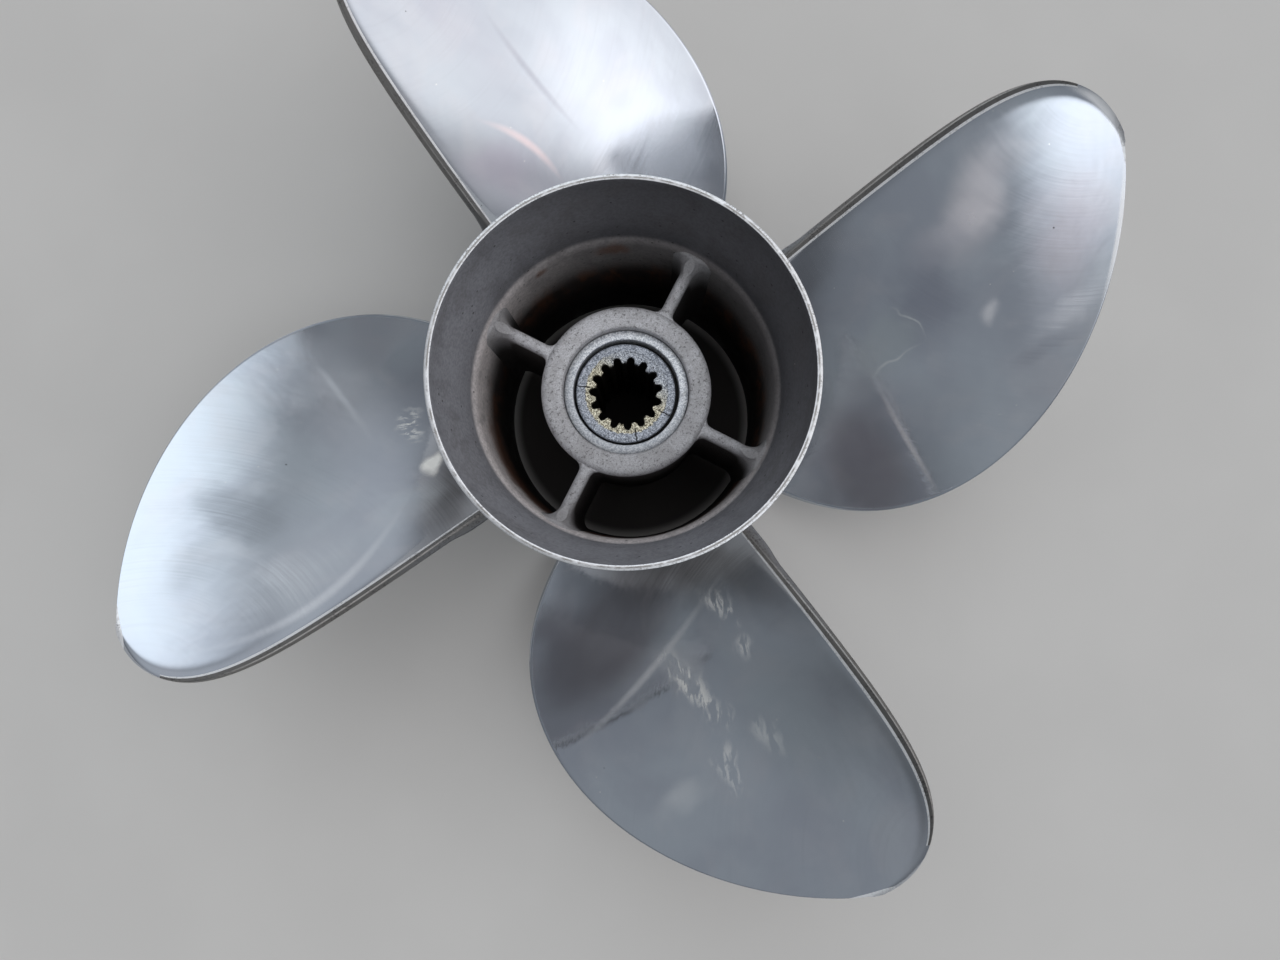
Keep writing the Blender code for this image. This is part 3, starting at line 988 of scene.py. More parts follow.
@dataclass
class Core:
    """The thick inner tube and the four ribs that carry it."""

    tube_r: float = 0.0295
    tube_top: float = 0.091
    tube_foot: float = 0.008
    bore_r: float = 0.0219
    taper: float = 0.0022
    taper_depth: float = 0.0055
    wall_r: float = 0.0512
    rib_count: int = 4
    first_rib: float = 45.0
    rib_thickness: float = 0.0043
    rib_top: float = 0.0895
    rib_foot: float = 0.014
    top_round: float = 0.002
    end_round: float = 0.0036
    foot_round: float = 0.0011
    outer_fillet: float = 0.0062
    inner_fillet: float = 0.0028
    rise: float = 0.0032
    rise_reach: float = 0.009
    sink: float = 0.0013
    end_rows: float = 0.18
    fillet_share: float = 0.86
    smooth_from: float = 60.0
    rib_grid: tuple = (34, 10, 44)
    steps: int = 176
    cast: Material = field(init=False)

    def __post_init__(self) -> None:
        """Makes the finish."""
        self.cast = SandCast("sand_cast").material()

    def tube_outline(self) -> list[Corner]:
        """Lays out the inner tube.

        Returns:
            The corners of its section.
        """
        return [
            Corner(self.tube_r, self.tube_top, 0.0024, 6),
            Corner(self.tube_r, self.tube_foot, 0.0009, 3),
            Corner(self.bore_r + self.taper, self.tube_foot),
            Corner(self.bore_r, self.tube_foot + self.taper_depth),
            Corner(self.bore_r, self.tube_top, 0.001, 3),
        ]

    def rib_level(self, share: float, top: float, eased: float) -> tuple[float, float]:
        """Says how high a row of a rib lies.

        Args:
            share: From 0 at the foot to 1 at the top.
            top: The height of the top there.
            eased: The length by which the top's edges are rounded there.

        Returns:
            The height, and how far the rounded edge draws the sides in.
        """
        end = self.end_rows
        low = self.rib_foot + self.foot_round
        past = max(end - share, share - 1.0 + end)
        if past <= 0.0:
            return low + (top - eased - low) * (share - end) / (1.0 - 2.0 * end), 0.0
        sine = math.sin(math.pi / 2.0 * past / end)
        pulled = 1.0 - math.cos(math.pi / 2.0 * past / end)
        if share < end:
            return self.rib_foot + self.foot_round * (1.0 - sine), self.foot_round * pulled
        return top - eased * (1.0 - sine), eased * pulled

    def rib_point(self, spot: Vector) -> Vector:
        """Moves a point of the unit block to its place on the rib along +X.

        Args:
            spot: The point, with each part from -0.5 to 0.5.

        Returns:
            Its place in metres.
        """
        share = 0.5 - 0.5 * math.cos(math.pi * (spot.x + 0.5))
        low = self.tube_r - self.sink
        high = self.wall_r + self.sink
        away = low + (high - low) * share
        half = self.rib_thickness / 2.0
        rests = ((self.outer_fillet, self.wall_r - away), (self.inner_fillet, away - self.tube_r))
        for fillet, rest in rests:
            half += fillet * quarter_round((fillet - rest) / fillet) * self.fillet_share
        climb = smooth_step((away - self.wall_r + self.rise_reach) / self.rise_reach)
        top = self.rib_top + self.rise * climb * climb
        height, inset = self.rib_level(spot.z + 0.5, top, self.top_round + self.end_round * climb)
        side = 2.0 * spot.y * (half - inset)
        return Vector((away * math.cos(side / away), away * math.sin(side / away), height))

    def build(self) -> None:
        """Builds the tube and the ribs."""
        tube = turned(self.tube_outline(), self.steps)
        make_piece("hub_tube", tube, [self.cast], "inner_barrel")
        for number in range(self.rib_count):
            rib = gridded_block(self.rib_grid)
            for vert in rib.verts:
                vert.co = self.rib_point(vert.co)
            turn_round(rib, math.radians(self.first_rib) + math.tau * number / self.rib_count)
            make_piece(f"hub_rib_{number + 1}", rib, [self.cast], f"rib_{number + 1}",
                       self.smooth_from)


def roughness(angle: float, radius: float, size: float) -> float:
    """Returns a small height that varies over the sleeve's end."""
    spot = Vector((radius * math.cos(angle), radius * math.sin(angle), 0.31))
    return size * (noise.noise(spot * 900.0) + 0.6 * noise.noise(spot * 2400.0))


@dataclass
class Bushing:
    """The steel ring, the rubber and the splined sleeve in the middle."""

    shell_r: float = 0.02175
    shell_bore_r: float = 0.0185
    shell_top: float = 0.0865
    shell_foot: float = 0.015
    rubber_top: float = 0.0802
    rubber_foot: float = 0.017
    sleeve_top: float = 0.0855
    sleeve_foot: float = 0.013
    flange_r: float = 0.0174
    flange_foot: float = 0.0805
    tube_r: float = 0.0148
    groove_r: float = 0.0128
    tooth_r: float = 0.0106
    teeth: int = 15
    first_groove: float = 15.3
    groove_half: float = 0.345
    flank: float = 0.165
    bowl: float = 0.22
    bowl_half: float = 0.19
    chewed: float = 0.00038
    nicked: float = 0.00026
    mouth_width: float = 0.0004
    lean: tuple = (-0.00028, -0.00014)
    shell_steps: int = 176
    rubber_steps: int = 128
    steps: int = 720

    def tooth_radius(self, angle: float, wear: float) -> float:
        """Says how far out the toothed bore is at an angle.

        Args:
            angle: The angle in radians.
            wear: How chewed the tooth is, from 0 to 1.

        Returns:
            The radius.
        """
        pitch = math.tau / self.teeth
        turn = (angle - math.radians(self.first_groove)) / pitch
        offset = abs(turn - round(turn))
        groove = smooth_step((self.groove_half - offset) / self.flank)
        bowl = self.bowl * min(1.0, offset / self.bowl_half) ** 2
        depth = self.groove_r - self.tooth_r
        chew = noise.noise(Vector((11.0 * math.cos(angle), 11.0 * math.sin(angle), 3.0)))
        nick = noise.noise(Vector((34.0 * math.cos(angle), 34.0 * math.sin(angle), 7.0)))
        base = self.tooth_r + depth * groove * (1.0 - bowl * groove)
        return base + wear * (1.0 - groove) * (self.chewed * chew + self.nicked * nick)

    def mouth(self, angle: float, wear: float, grow: float, height: float, size: float) -> Spot:
        """Finds a point of a ring that follows the teeth.

        Args:
            angle: The angle in radians.
            wear: How chewed the teeth are, from 0 to 1.
            grow: What is added to the teeth's radius.
            height: The ring's height.
            size: How rough it is.

        Returns:
            The point's radius and height.
        """
        return self.tooth_radius(angle, wear) + grow, height + roughness(angle, self.tooth_r, size)

    def crust(self, angle: float, radius: float, share: float, height: float, size: float) -> Spot:
        """Finds a point of a ring between the chewed teeth and a circle.

        Args:
            angle: The angle in radians.
            radius: The circle's radius.
            share: How far the ring is out towards the circle, from 0 to 1.
            height: The ring's height.
            size: How rough it is.

        Returns:
            The point's radius and height.
        """
        start = self.tooth_radius(angle, 1.0) + self.mouth_width
        away = start + (radius - start) * share
        return away, height + roughness(angle, away, size)

    def loops(self) -> list[Callable[[float], Spot]]:
        """Lists the sleeve's rings up the bore, over the end and down the outside.

        Returns:
            For each ring, what gives its radius and height at an angle.
        """
        top = self.sleeve_top
        foot = self.sleeve_foot
        low = top - 0.0002
        bores = [(0.0, 0.0, foot, 0.0), (0.0, 0.0, 0.04, 0.0), (0.1, 0.0, top - 0.006, 0.0),
                 (0.5, 0.0, top - 0.0022, 0.0), (1.0, 0.0, top - 0.0009, 0.0001),
                 (1.0, 0.00012, top - 0.00035, 0.00016)]
        rings = [(0.0134, share, low, 0.0002) for share in (0.0, 0.25, 0.5, 0.75, 1.0)]
        rings += [(radius, 1.0, low, 0.00018) for radius in (0.0137, 0.014, 0.01425)]
        rings += [(0.01445, 1.0, top - 0.00028, 0.00012), (0.0146, 1.0, top - 0.00022, 0.00009)]
        rings += [(radius, 1.0, top - 0.00012, 0.00007)
                  for radius in (0.0149, 0.0153, 0.0157, 0.0161, 0.0165, 0.0168)]
        rings += [(self.flange_r - 0.0003, 1.0, low, 0.00004), (self.flange_r, 1.0, top - 0.0006, 0.0),
                  (self.flange_r, 1.0, self.flange_foot, 0.0), (self.tube_r, 1.0, self.flange_foot, 0.0),
                  (self.tube_r, 1.0, foot + 0.0005, 0.0), (self.tube_r - 0.0005, 1.0, foot, 0.0)]
        inside = [lambda angle, row=row: self.mouth(angle, *row) for row in bores]
        return inside + [lambda angle, row=row: self.crust(angle, *row) for row in rings]

    def sleeve(self) -> Mesh:
        """Walks a circle up the bore, over the end and down the outside, and closes it.

        Returns:
            The sleeve's mesh.
        """
        bm = bmesh.new()
        bmesh.ops.create_circle(bm, cap_ends=False, radius=self.tooth_r, segments=self.steps)
        ring = bm.verts[:]
        edges = bm.edges[:]
        first = edges
        for number, place in enumerate(self.loops()):
            if number:
                grown = bmesh.ops.extrude_edge_only(bm, edges=edges)["geom"]
                ring = [g for g in grown if isinstance(g, bmesh.types.BMVert)]
                fresh = set(ring)
                edges = [g for g in grown if isinstance(g, bmesh.types.BMEdge) and set(g.verts) <= fresh]
            for vert in ring:
                angle = math.atan2(vert.co.y, vert.co.x)
                away, height = place(angle)
                vert.co = Vector((away * math.cos(angle), away * math.sin(angle), height))
        bmesh.ops.bridge_loops(bm, edges=list(first) + edges)
        bmesh.ops.translate(bm, verts=bm.verts[:], vec=(*self.lean, 0.0))
        bmesh.ops.recalc_face_normals(bm, faces=bm.faces[:])
        return bm

    def build(self) -> None:
        """Builds the three pieces."""
        shell = turned([
            Corner(self.shell_r, self.shell_top, 0.00045, 2),
            Corner(self.shell_r, self.shell_foot, 0.0004, 2),
            Corner(self.shell_bore_r, self.shell_foot),
            Corner(self.shell_bore_r, self.shell_top, 0.00035, 3),
        ], self.shell_steps)
        finish = PressedSteel("pressed_steel").material()
        make_piece("press_ring", shell, [finish], "bushing_shell")
        outer_r = self.shell_bore_r - 0.0001
        inner_r = self.tube_r + 0.0004
        rubber = turned([
            Corner(outer_r, self.rubber_top, 0.0005, 2),
            Corner(outer_r, self.rubber_foot, 0.0005, 2),
            Corner(inner_r, self.rubber_foot),
            Corner(inner_r, self.rubber_top),
        ], self.rubber_steps)
        finish = AgedRubber("aged_rubber").material()
        make_piece("rubber_cushion", rubber, [finish], "bushing_rubber")
        finish = ChewedBrass("chewed_brass", face=self.sleeve_top).material()
        make_piece("spline_bush", self.sleeve(), [finish], "spline_sleeve", 50.0)


@dataclass(frozen=True)
class BladeForm:
    """The lengths and angles that shape a blade."""

    hub_length: float = 0.133
    wall_r: float = 0.055
    root_r: float = 0.0553
    tip_r: float = 0.1805
    aft_depth: float = 0.0605
    middle_r: float = 0.12
    pitch: float = 0.44
    pitch_gain: float = 0.1
    rake: float = 19.0
    tip_angle: float = 14.0
    leading_sweep: float = 53.3
    leading_power: float = 2.35
    leading_round: float = 0.8
    trailing_sweep: float = 12.0
    trailing_slope: float = 3.0
    trailing_power: float = 7.0
    root_thickness: float = 0.0082
    tip_thickness: float = 0.003
    trailing_thickness: float = 0.003
    leading_thickness: float = 0.0014
    flat_extra: float = 0.0013
    flat_length: float = 0.023
    cup_height: float = 0.0012
    cup_width: float = 0.007
    cup_start: float = 0.55
    cup_gain: float = 1.6
    tip_cup_width: float = 0.0052
    tip_cup_start: float = 1.0
    tip_cup_span: float = 5.0
    root_power: float = 1.2
    edge_taper: float = 0.25
    flat_fade: float = 0.25
    swell_power: float = 0.75

    def out(self, radius: float) -> float:
        """Returns how far out a radius is, from 0 at the root to 1 at the tip."""
        return held_share((radius - self.root_r) / (self.tip_r - self.root_r))

    def leading(self, radius: float) -> float:
        """Returns the leading edge's angle at a radius."""
        rise = 1.0 - (1.0 - self.out(radius) ** self.leading_power) ** self.leading_round
        return math.radians(self.tip_angle - self.leading_sweep * (1.0 - rise))

    def trailing(self, radius: float) -> float:
        """Finds the trailing edge.

        Args:
            radius: The distance from the shaft.

        Returns:
            The edge's angle there, in radians.
        """
        out = self.out(radius)
        corner = 1.0 - math.sqrt(1.0 - out ** self.trailing_power)
        top = self.tip_angle + self.trailing_slope + self.trailing_sweep
        return math.radians(top - self.trailing_slope * out - self.trailing_sweep * corner)

    def slope(self, radius: float, angle: float) -> float:
        """Returns the angle between the section and the plane of rotation."""
        return math.atan((self.pitch + self.pitch_gain * angle) / (math.tau * radius))

    def face_height(self, radius: float, angle: float) -> float:
        """Says how high the driving face is.

        Args:
            radius: The distance from the shaft.
            angle: The angle round it, in radians.

        Returns:
            The height, with the cup along the trailing edge and the tip.
        """
        lead = (self.pitch * angle + self.pitch_gain * angle * angle / 2.0) / math.tau
        rake = math.tan(math.radians(self.rake)) * (radius - self.middle_r)
        chord = (self.trailing(radius) - angle) * radius / math.cos(self.slope(radius, angle))
        grown = smooth_step(self.cup_start + self.cup_gain * self.out(radius))
        edge_bend = held_share(1.0 - chord / self.cup_width) * grown
        tip_bend = max(0.0, 1.0 - (self.tip_r - radius) / self.tip_cup_width)
        past = math.degrees(angle) - self.tip_angle
        tip_bend *= smooth_step((past - self.tip_cup_start) / self.tip_cup_span)
        cup = self.cup_height * (1.0 - (1.0 - edge_bend ** 3) * (1.0 - tip_bend ** 3))
        return self.hub_length - self.aft_depth + rake + lead + cup

    def thickness(self, radius: float, share: float) -> float:
        """Says how thick the blade is.

        Args:
            radius: The distance from the shaft.
            share: The share of the chord, from the trailing edge to the leading edge.

        Returns:
            The thickness.
        """
        out = self.out(radius)
        middle = (self.root_thickness - self.tip_thickness) * (1.0 - out) ** self.root_power
        middle += self.tip_thickness
        edge = self.trailing_thickness + (self.leading_thickness - self.trailing_thickness) * share
        edge *= 1.0 - self.edge_taper * out
        rest = self.flat_length - (radius - self.root_r)
        flat = held_share(rest / (self.flat_fade * self.flat_length))
        edge += self.flat_extra * flat * max(0.0, 1.0 - 4.0 * share)
        swell = (4.0 * share * (1.0 - share)) ** self.swell_power
        return edge + max(0.0, middle - edge) * swell

    def point(self, radius: float, angle: float, offset: float) -> Vector:
        """Finds a point off the driving face.

        Args:
            radius: The distance from the shaft.
            angle: The angle round it, in radians.
            offset: How far the point lies off the face, towards the back.

        Returns:
            The point.
        """
        slope = self.slope(radius, angle)
        turned_by = angle + offset * math.sin(slope) / radius
        height = self.face_height(radius, angle) - offset * math.cos(slope)
        return Vector((radius * math.cos(turned_by), radius * math.sin(turned_by), height))


@dataclass
class Blades:
    """The four blades, with the fillets that run into the barrel."""

    form: BladeForm = field(default_factory=BladeForm)
    count: int = 4
    first_angle: float = -6.6
    rows: tuple = (84, 96, 6)
    fillet: float = 0.007
    fillet_rows: float = 0.16
    sink: float = 0.0012
    last_share: float = 0.972
    ease: float = 0.00025
    lip: float = 0.45
    nose_width: float = 0.002
    nose_drop: float = 0.5
    crowding: float = 0.4
    bulge_power: int = 8
    fillet_fade: float = 0.55
    fillet_lead: float = 0.75
    fillet_trail: float = 0.15
    tip_round: float = 0.00035
    wall_to: float = 0.38
    cup_from: float = 0.3
    tip_from: float = 0.43
    stains_and_painted_light: tuple = (
        (
            Patch(0.13, 0.039, 0.015, 0.14, 0.5, (0.86, 0.79, 0.8), 1.7, 70.0, film=0.2),
            Patch(0.118, 0.03, 0.01, 0.14, 0.34, (0.84, 0.78, 0.8), 1.8, 30.0, film=0.12),
            Patch(0.158, 0.022, 0.018, 0.06, 0.42, (0.56, 0.5, 0.54), 1.6, 75.0),
            Patch(0.132, 0.003, 0.005, 0.16, 0.44, (0.88, 0.86, 0.87), 1.2, 10.0, 0.9, film=0.24),
            Patch(0.112, 0.015, 0.018, -0.03, 0.66, (0.33, 0.35, 0.42), 1.4, 80.0),
            Patch(0.0985, 0.002, 0.0138, 0.05, 0.24, (0.56, 0.62, 0.61), 1.0, 0.0, 0.6),
            Patch(0.1064, 0.0073, 0.0007, 0.1, 0.46, (0.84, 0.86, 0.85), 16.0, -53.4, 0.95, bend=-3.8,
                  film=0.14),
            Patch(0.1006, -0.0056, 0.0007, 0.1, 0.46, (0.84, 0.86, 0.85), 17.0, 17.3, 0.95, bend=1.3,
                  film=0.14),
            Patch(0.16, -0.002, 0.007, 0.08, 0.4, (0.88, 0.89, 0.94), 2.8, 28.0, 0.9, 3.0, film=0.08),
            Patch(0.152, -0.012, 0.005, -0.02, 0.4, (0.4, 0.42, 0.48), 3.0, 28.0, 0.9, 2.0),
            Patch(0.118, -0.022, 0.016, 0.1, 0.2, (0.58, 0.63, 0.66), 1.6, -20.0),
            # Painted dark reflection, its edge on the line of the reflected hub rim.
            painted_reflection(0.087, -0.04, 0.0175, 0.02, 0.5, (0.34, 0.31, 0.34), 1.9, -68.6, 0.6),
            # Dark patches at the root: painted shade.
            Patch(0.062, -0.012, 0.018, 0.06, 0.6, (0.28, 0.26, 0.28), 2.4, 84.0, 0.95),
            Patch(0.068, 0.026, 0.016, 0.04, 0.6, (0.22, 0.22, 0.24), 2.4, 66.0, 0.95),
            # Painted reflection of the hub rim, then painted highlights along the tip.
            painted_reflection(0.1033, -0.0338, 0.0014, 0.1, 0.6, (0.88, 0.85, 0.85), 21.0, -68.6, 0.9, 0.0, 0.16),
            painted_reflection(0.168, 0.0561, 0.0017, 0.14, 0.95, (0.95, 0.96, 0.98), 9.4, -48.0, 0.8, -2.6, 0.8),
            painted_reflection(0.1733, 0.0172, 0.0013, 0.1, 0.9, (0.98, 0.98, 1.0), 20.0, 80.2, 0.8, 2.3, 0.6),
        ),
        (
            Patch(0.135, 0.034, 0.018, 0.1, 0.18, (0.6, 0.58, 0.66), 1.6, 40.0),
            Patch(0.088, 0.028, 0.012, 0.06, 0.34, (0.56, 0.51, 0.61), 1.6, -60.0),
            # Painted light that lightens a dark reflection.
            Patch(0.096, -0.036, 0.027, 0.22, 0.8, (0.74, 0.8, 0.9), 1.3, 90.0, 0.95, film=0.08),
            # Painted reflections: a dark line and a pinkish light arc.
            painted_reflection(0.1215, 0.011, 0.002, 0.06, 0.6, (0.4, 0.41, 0.47), 13.0, 33.5, 0.95, -0.9),
            painted_reflection(0.0978, 0.0173, 0.0024, 0.1, 0.62, (0.98, 0.8, 0.8), 7.2, 52.8, 0.95, 2.2),
        ),
        (
            Patch(0.118, 0.01, 0.024, 0.02, 0.42, (0.42, 0.47, 0.51), 1.3, 20.0, 0.95, 0.8),
            Patch(0.141, 0.014, 0.0115, 0.06, 0.78, (0.36, 0.39, 0.43), 1.8, -35.0, 0.6, 1.2),
            Patch(0.154, 0.03, 0.009, 0.06, 0.52, (0.42, 0.45, 0.49), 1.8, 40.0, 0.9, 1.4),
            Patch(0.122, 0.042, 0.018, 0.1, 0.34, (0.8, 0.85, 0.88), 1.8, 20.0, 0.95, 1.5, film=0.1),
            Patch(0.108, -0.026, 0.024, 0.1, 0.34, (0.8, 0.83, 0.87), 1.5, -60.0, 0.95, film=0.2),
            # Dark patch at the root: painted shade.
            Patch(0.066, 0.018, 0.02, 0.05, 0.9, (0.11, 0.11, 0.12), 2.2, 76.0, 0.95),
            # Painted reflections: two light lines.
            painted_reflection(0.1099, 0.0486, 0.0026, 0.14, 0.5, (0.88, 0.9, 0.94), 17.0, 30.7, 0.95, -6.0, 0.14),
            painted_reflection(0.107, -0.0237, 0.002, 0.08, 0.3, (0.82, 0.86, 0.9), 14.5, 118.1, 0.95, 0.0, 0.06),
            # Painted glints near the hub: a bright smudge and a bright patch.
            smudge_and_glint(0.0834, -0.01, 0.0074, 0.9, (0.98, 0.98, 0.94), 1.3, 70.0, 0.7, 0.16),
            Patch(0.075, 0.0088, 0.0046, 0.16, 0.98, (1.0, 0.99, 0.95), 1.3, 60.0, 0.7, film=0.8),
        ),
        (
            Patch(0.118, 0.03, 0.022, 0.06, 0.26, (0.48, 0.55, 0.58), 1.6, 20.0),
            # Painted dark reflection, then dark patches at the root: painted shade.
            painted_reflection(0.085, -0.0235, 0.0215, 0.03, 0.76, (0.23, 0.22, 0.24), 2.0, -50.7, 0.6),
            Patch(0.086, -0.047, 0.016, 0.03, 0.64, (0.24, 0.24, 0.27), 2.0, -8.0, 0.9),
            Patch(0.062, 0.006, 0.023, 0.05, 0.92, (0.1, 0.1, 0.105), 2.4, 84.0, 0.9),
            Patch(0.073, 0.03, 0.018, 0.04, 0.52, (0.2, 0.2, 0.21), 2.0, 55.0, 0.95),
            Patch(0.101, 0.002, 0.0095, 0.1, 0.4, (0.7, 0.72, 0.74), 1.3, -45.0, 0.95, film=0.12),
            Patch(0.144, -0.009, 0.006, 0.14, 0.36, (0.8, 0.82, 0.82), 2.4, -58.0, 0.95, film=0.14),
            smudge_and_glint(0.081, 0.0175, 0.0056, 0.76, (0.98, 0.97, 0.94), 1.9, 35.0, 0.48),
            smudge_and_glint(0.095, 0.0225, 0.0048, 0.6, (0.96, 0.95, 0.92), 1.3, 0.0, 0.36),
            smudge_and_glint(0.106, 0.001, 0.008, 0.76, (0.98, 0.96, 0.9), 1.8, 40.0, 0.52),
            smudge_and_glint(0.115, 0.009, 0.0062, 0.56, (0.96, 0.94, 0.88), 1.8, 60.0, 0.32),
            smudge_and_glint(0.129, 0.0095, 0.0052, 0.5, (0.96, 0.94, 0.9), 1.4, 0.0, 0.26),
            smudge_and_glint(0.136, 0.008, 0.0062, 0.5, (0.96, 0.94, 0.9), 1.5, 40.0, 0.26),
            smudge_and_glint(0.1255, 0.024, 0.0052, 0.38, (0.92, 0.92, 0.88), 1.3, 0.0, 0.16, 0.12),
            # Painted reflection: a light line.
            painted_reflection(0.1004, -0.0117, 0.0021, 0.1, 0.56, (0.88, 0.88, 0.88), 23.0, -50.7, 0.95, -2.2, 0.24),
        ),
    )
    bare: Material = field(init=False)
    wall: Material = field(init=False)
    back: Material = field(init=False)

    def __post_init__(self) -> None:
        """Makes the finishes that the blades share."""
        self.bare = GroundEdge("bare_blade_edge_and_painted_line", colour=(0.84, 0.85, 0.87), dirt=(0.12, 0.12, 0.12),
                               metal=0.5, dirt_share=0.6).material()
        # The dark grey of the trailing wall is a painted dark reflection along the trailing edge.
        self.wall = GroundEdge("dull_blade_wall_painted_dark", colour=(0.22, 0.215, 0.21), dirt=(0.08, 0.075, 0.075),
                               smooth=0.3, dull=0.44).material()
        self.back = BuffedSteel("buffed_blade_back", seed=1.9, colour=(0.58, 0.6, 0.63),
                                shade=(0.46, 0.47, 0.5), smooth=0.12, dull=0.28).material()

    def finish_of(self, face: bmesh.types.BMFace) -> int:
        """Says which finish a face of the unit block has.

        Args:
            face: The face, before it is moved to its place.

        Returns:
            0 for the driving face, 1 for bare edges and a painted bright line near the root's trailing edge,
            2 for the trailing wall and a painted dark band along the root's trailing edge, and 3 for the
            back.
        """
        middle = face.calc_center_median()
        column = (middle.y + 0.5) * self.rows[1]
        if face.normal.x > 0.5:
            return 1
        if face.normal.y < -0.5:
            return 1 if middle.x > self.wall_to else 2
        if face.normal.z > 0.5:
            return 1 if column < 2.0 else 3
        if face.normal.y > 0.5 or face.normal.z > -0.5:
            return 0
        if middle.x > self.cup_from:
            return 1 if column < 1.0 or middle.x > self.tip_from else 0
        # Near the root, the face's first two columns at the trailing edge get the dark wall finish and the
        # third the bright bare one: a painted dark reflection and a painted highlight line.
        return 2 if column < 2.0 else 1 if column < 3.0 else 0

    def radius_of(self, share: float, across: float) -> tuple[float, float]:
        """Says where a row of points lies.

        Args:
            share: From 0 at the root to 1 at the tip.
            across: From 0 at the trailing edge to 1 at the leading edge.

        Returns:
            The radius, and how far the fillet stands off the blade there.
        """
        wall = self.form.wall_r
        if share < 1e-6:
            return wall - self.sink, self.fillet
        first = 1.0 / self.rows[0]
        if share < self.fillet_rows:
            swing = math.pi / 2.0 * (share - first) / (self.fillet_rows - first)
            return wall + self.fillet * (1.0 - math.cos(swing)), self.fillet * (1.0 - math.sin(swing))
        rest = (share - self.fillet_rows) / (1.0 - self.fillet_rows)
        low = wall + self.fillet
        reach = self.form.tip_r - self.form.root_r
        last = self.form.root_r + reach * math.sin(math.pi / 2.0 * self.last_share)
        radius = low + (last - low) * math.sin(math.pi / 2.0 * rest)
        bulge = (self.form.tip_r - last) * rest ** self.bulge_power * (1.0 - (2.0 * across - 1.0) ** 2)
        return radius + bulge, 0.0

    def blade_point(self, spot: Vector) -> Vector:
        """Moves a point of the unit block to its place on the blade along +X.

        Args:
            spot: The point, with each part from -0.5 to 0.5.

        Returns:
            Its place in metres.
        """
        turn = spot.y + 0.5
        deep = spot.z + 0.5
        share = (1.0 - self.crowding) * turn + self.crowding * (0.5 - 0.5 * math.cos(math.pi * turn))
        share *= self.lip if turn < 1.5 / self.rows[1] else 1.0
        radius, extra = self.radius_of(spot.x + 0.5, share)
        low = self.form.leading(radius)
        high = self.form.trailing(radius)
        angle = high + (low - high) * share
        per_metre = math.cos(self.form.slope(radius, angle)) / radius
        chord = (high - low) / per_metre
        thickness = self.form.thickness(radius, share)
        angle += extra * (self.fillet_lead * (1.0 - share) ** 5 - self.fillet_trail * share ** 5) * per_metre
        nose = quarter_round(abs(2.0 * deep - 1.0))
        if turn < 1e-6 and nose > 0.9:
            angle -= min(self.ease, 0.002 * chord) * per_metre
        if turn > 1.0 - 1e-6:
            angle += min(0.5 * thickness, 0.006 * chord) * nose * per_metre
        if spot.x > 0.5 - 1e-6:
            radius -= self.tip_round * nose
        fade = 1.0 - self.fillet_fade * share ** 6
        offset = -extra * fade + deep * (thickness + 2.0 * extra * fade)
        near = max(0.0, 1.0 - (1.0 - share) * chord / self.nose_width)
        offset += (1.0 - deep) * self.nose_drop * thickness * near * near
        return self.form.point(radius, angle, offset)

    def build(self) -> None:
        """Builds the blades."""
        for number in range(self.count):
            blade = gridded_block(self.rows)
            finish_faces(blade, self.finish_of)
            for vert in blade.verts:
                vert.co = self.blade_point(vert.co)
            degrees = self.first_angle + 360.0 * number / self.count
            turn_round(blade, math.radians(degrees))
            steel = BuffedSteel(f"buffed_blade_{number + 1}", turn=degrees, seed=0.37 * (number + 1),
                                stains_and_painted_light=self.stains_and_painted_light[number]).material()
            name = f"blade_casting_{number + 1}"
            finishes = [steel, self.bare, self.wall, self.back]
            make_piece(name, blade, finishes, f"blade_{number + 1}")


@dataclass(frozen=True)
class Glow:
    """A soft light in the room round the propeller, or a dim part of it.

    Its middle is given by its turn round the shaft and its lift above the horizon, and its half width and
    half height by angles too, all in degrees. Soft is the share of it that fades out.
    """

    turn: float
    lift: float
    width: float
    height: float
    soft: float
    bright: float
    colour: tuple

    def over(self, aim: Wire, tone: Wire) -> Wire:
        """Lays the glow over what lights the room already.

        Args:
            aim: The direction of the light.
            tone: The light's colour without the glow.

        Returns:
            The light's colour with it.
        """
        scale = (1.0, math.sin(math.radians(self.width)), math.sin(math.radians(self.height)))
        seen = aim.framed(ORIGIN, (0.0, -self.lift, self.turn), scale)
        share = seen.reach((1.0, 0.0, 0.0)).fade(1.0 - self.soft, 1.0)
        return aim.sheet.mix(share, tone, tuple(self.bright * part for part in self.colour))


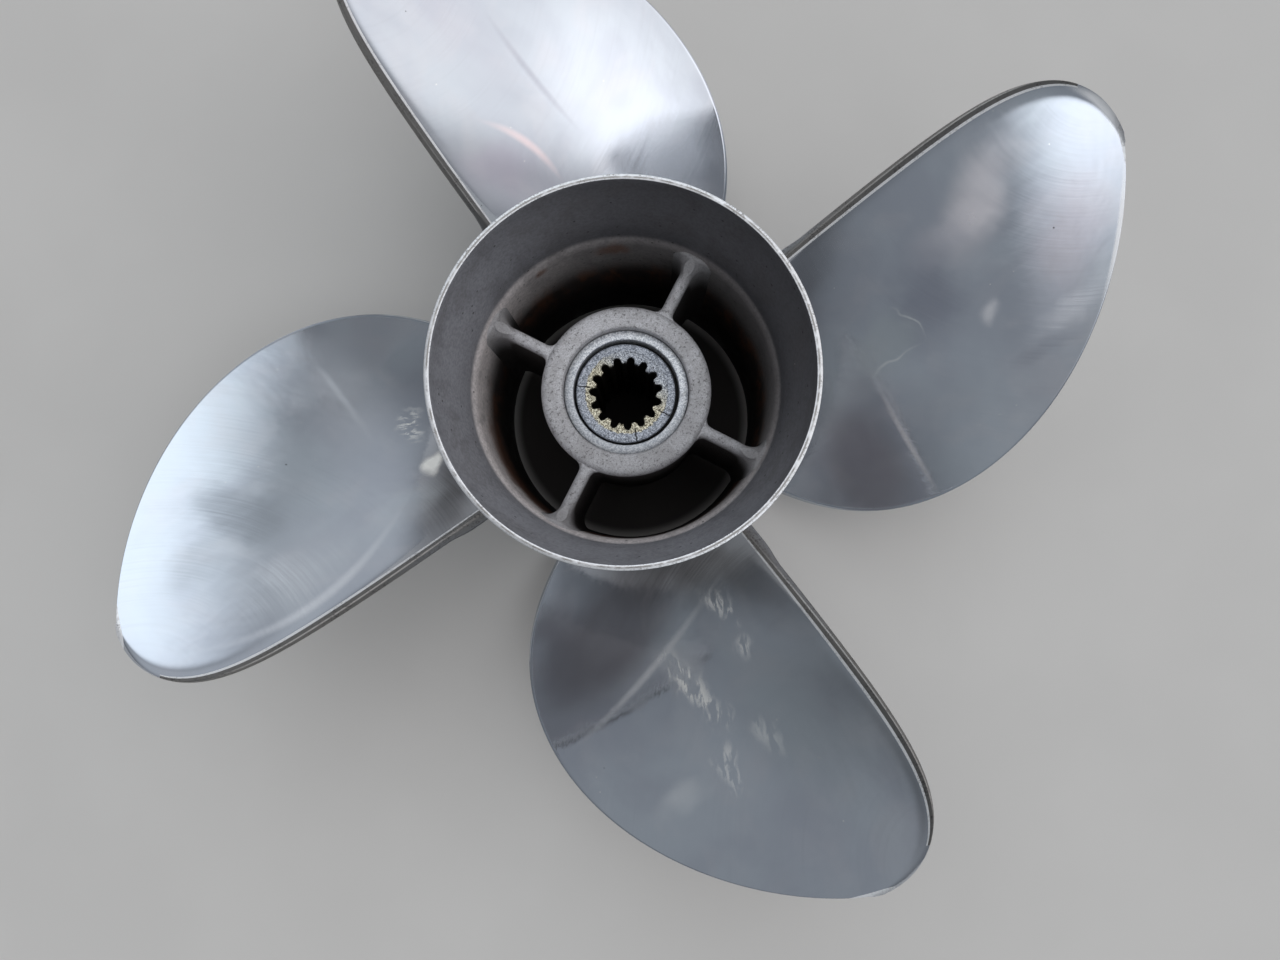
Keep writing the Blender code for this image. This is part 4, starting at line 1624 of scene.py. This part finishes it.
@dataclass
class Studio:
    """The floor, the lights and the camera."""

    eye: tuple = (-0.0073, -0.0468, 0.4143)
    gaze: tuple = (0.0072, 0.0492, -0.9988)
    upward: tuple = (0.309, 0.9498, 0.049)
    focal: float = 26.58
    floor_half: float = 4.0
    floor_rows: int = 8
    floor_drop: float = 0.0001
    horizon: tuple = (0.19, 0.2, 0.212)
    ceiling: tuple = (0.325, 0.342, 0.362)
    glows: tuple = (
        Glow(60.0, 72.0, 46.0, 33.0, 0.6, 1.45, (0.98, 0.98, 1.0)),
        Glow(4.0, 10.0, 34.0, 22.0, 0.75, 0.64, (1.0, 0.97, 0.99)),
        Glow(-8.0, 40.0, 46.0, 30.0, 0.4, 1.2, (1.0, 0.985, 0.99)),
        Glow(337.0, 32.0, 22.0, 17.0, 0.75, 1.72, (1.0, 0.985, 0.985)),
        Glow(305.0, 28.0, 14.0, 14.0, 0.6, 0.44, (0.95, 0.97, 1.0)),
        Glow(92.0, 14.0, 40.0, 26.0, 0.75, 0.6, (0.92, 0.96, 1.0)),
        Glow(84.0, 50.0, 38.0, 25.0, 0.55, 1.58, (0.9, 0.955, 1.0)),
        Glow(286.0, 63.0, 30.0, 19.0, 0.5, 1.86, (0.94, 0.97, 1.0)),
        Glow(226.0, 60.0, 31.0, 18.0, 0.6, 0.4, (0.94, 0.97, 1.0)),
        Glow(200.0, 30.0, 40.0, 22.0, 0.8, 0.15, (0.92, 0.96, 1.0)),
        Glow(240.0, 80.0, 18.0, 15.0, 0.7, 0.3, (0.97, 0.98, 1.0)),
    )

    def floor(self) -> None:
        """Lays the floor."""
        bm = bmesh.new()
        rows = self.floor_rows
        bmesh.ops.create_grid(bm, x_segments=rows, y_segments=rows, size=self.floor_half)
        bmesh.ops.translate(bm, verts=bm.verts[:], vec=(0.0, 0.0, -self.floor_drop))
        ground = make_object("floor", bm, [PaleFloor().material()])

    def lights(self) -> None:
        """Lights the room, darker towards the horizon, with its soft glows."""
        world = bpy.data.worlds.new("room")
        world.use_nodes = True
        sheet = NodeSheet(world.node_tree, "Background")
        aim = sheet.wire("ShaderNodeTexCoord", "Generated", {})
        tone = sheet.mix(aim.parts()[2].ease(0.0, 0.7), self.horizon, self.ceiling)
        for glow in self.glows:
            tone = glow.over(aim, tone)
        sheet.set(Color=tone, Strength=1.0)
        bpy.context.scene.world = world
        bpy.context.scene.view_settings.view_transform = "Standard"

    def camera(self) -> None:
        """Sets up the camera."""
        lens = bpy.data.cameras.new("camera")
        lens.sensor_width = 36.0
        lens.lens = self.focal
        lens.clip_start = 0.01
        eye = bpy.data.objects.new("camera", lens)
        back = -Vector(self.gaze).normalized()
        right = Vector(self.upward).cross(back).normalized()
        over = back.cross(right)
        turn = Matrix((right, over, back)).transposed()
        eye.matrix_world = Matrix.Translation(self.eye) @ turn.to_4x4()
        bpy.context.scene.collection.objects.link(eye)
        bpy.context.scene.camera = eye

    def build(self) -> None:
        """Sets up everything that isn't the propeller."""
        self.floor()
        self.lights()
        self.camera()
        LOG.info("the floor, the lights and the camera are set up")


def main() -> None:
    """Builds the propeller and the room, and logs each piece's face count."""
    logging.basicConfig(level=logging.INFO, format="%(name)s: %(message)s")
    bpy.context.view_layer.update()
    Studio().build()
    HubShell().build()
    Core().build()
    Bushing().build()
    Blades().build()


if __name__ == "__main__":
    main()
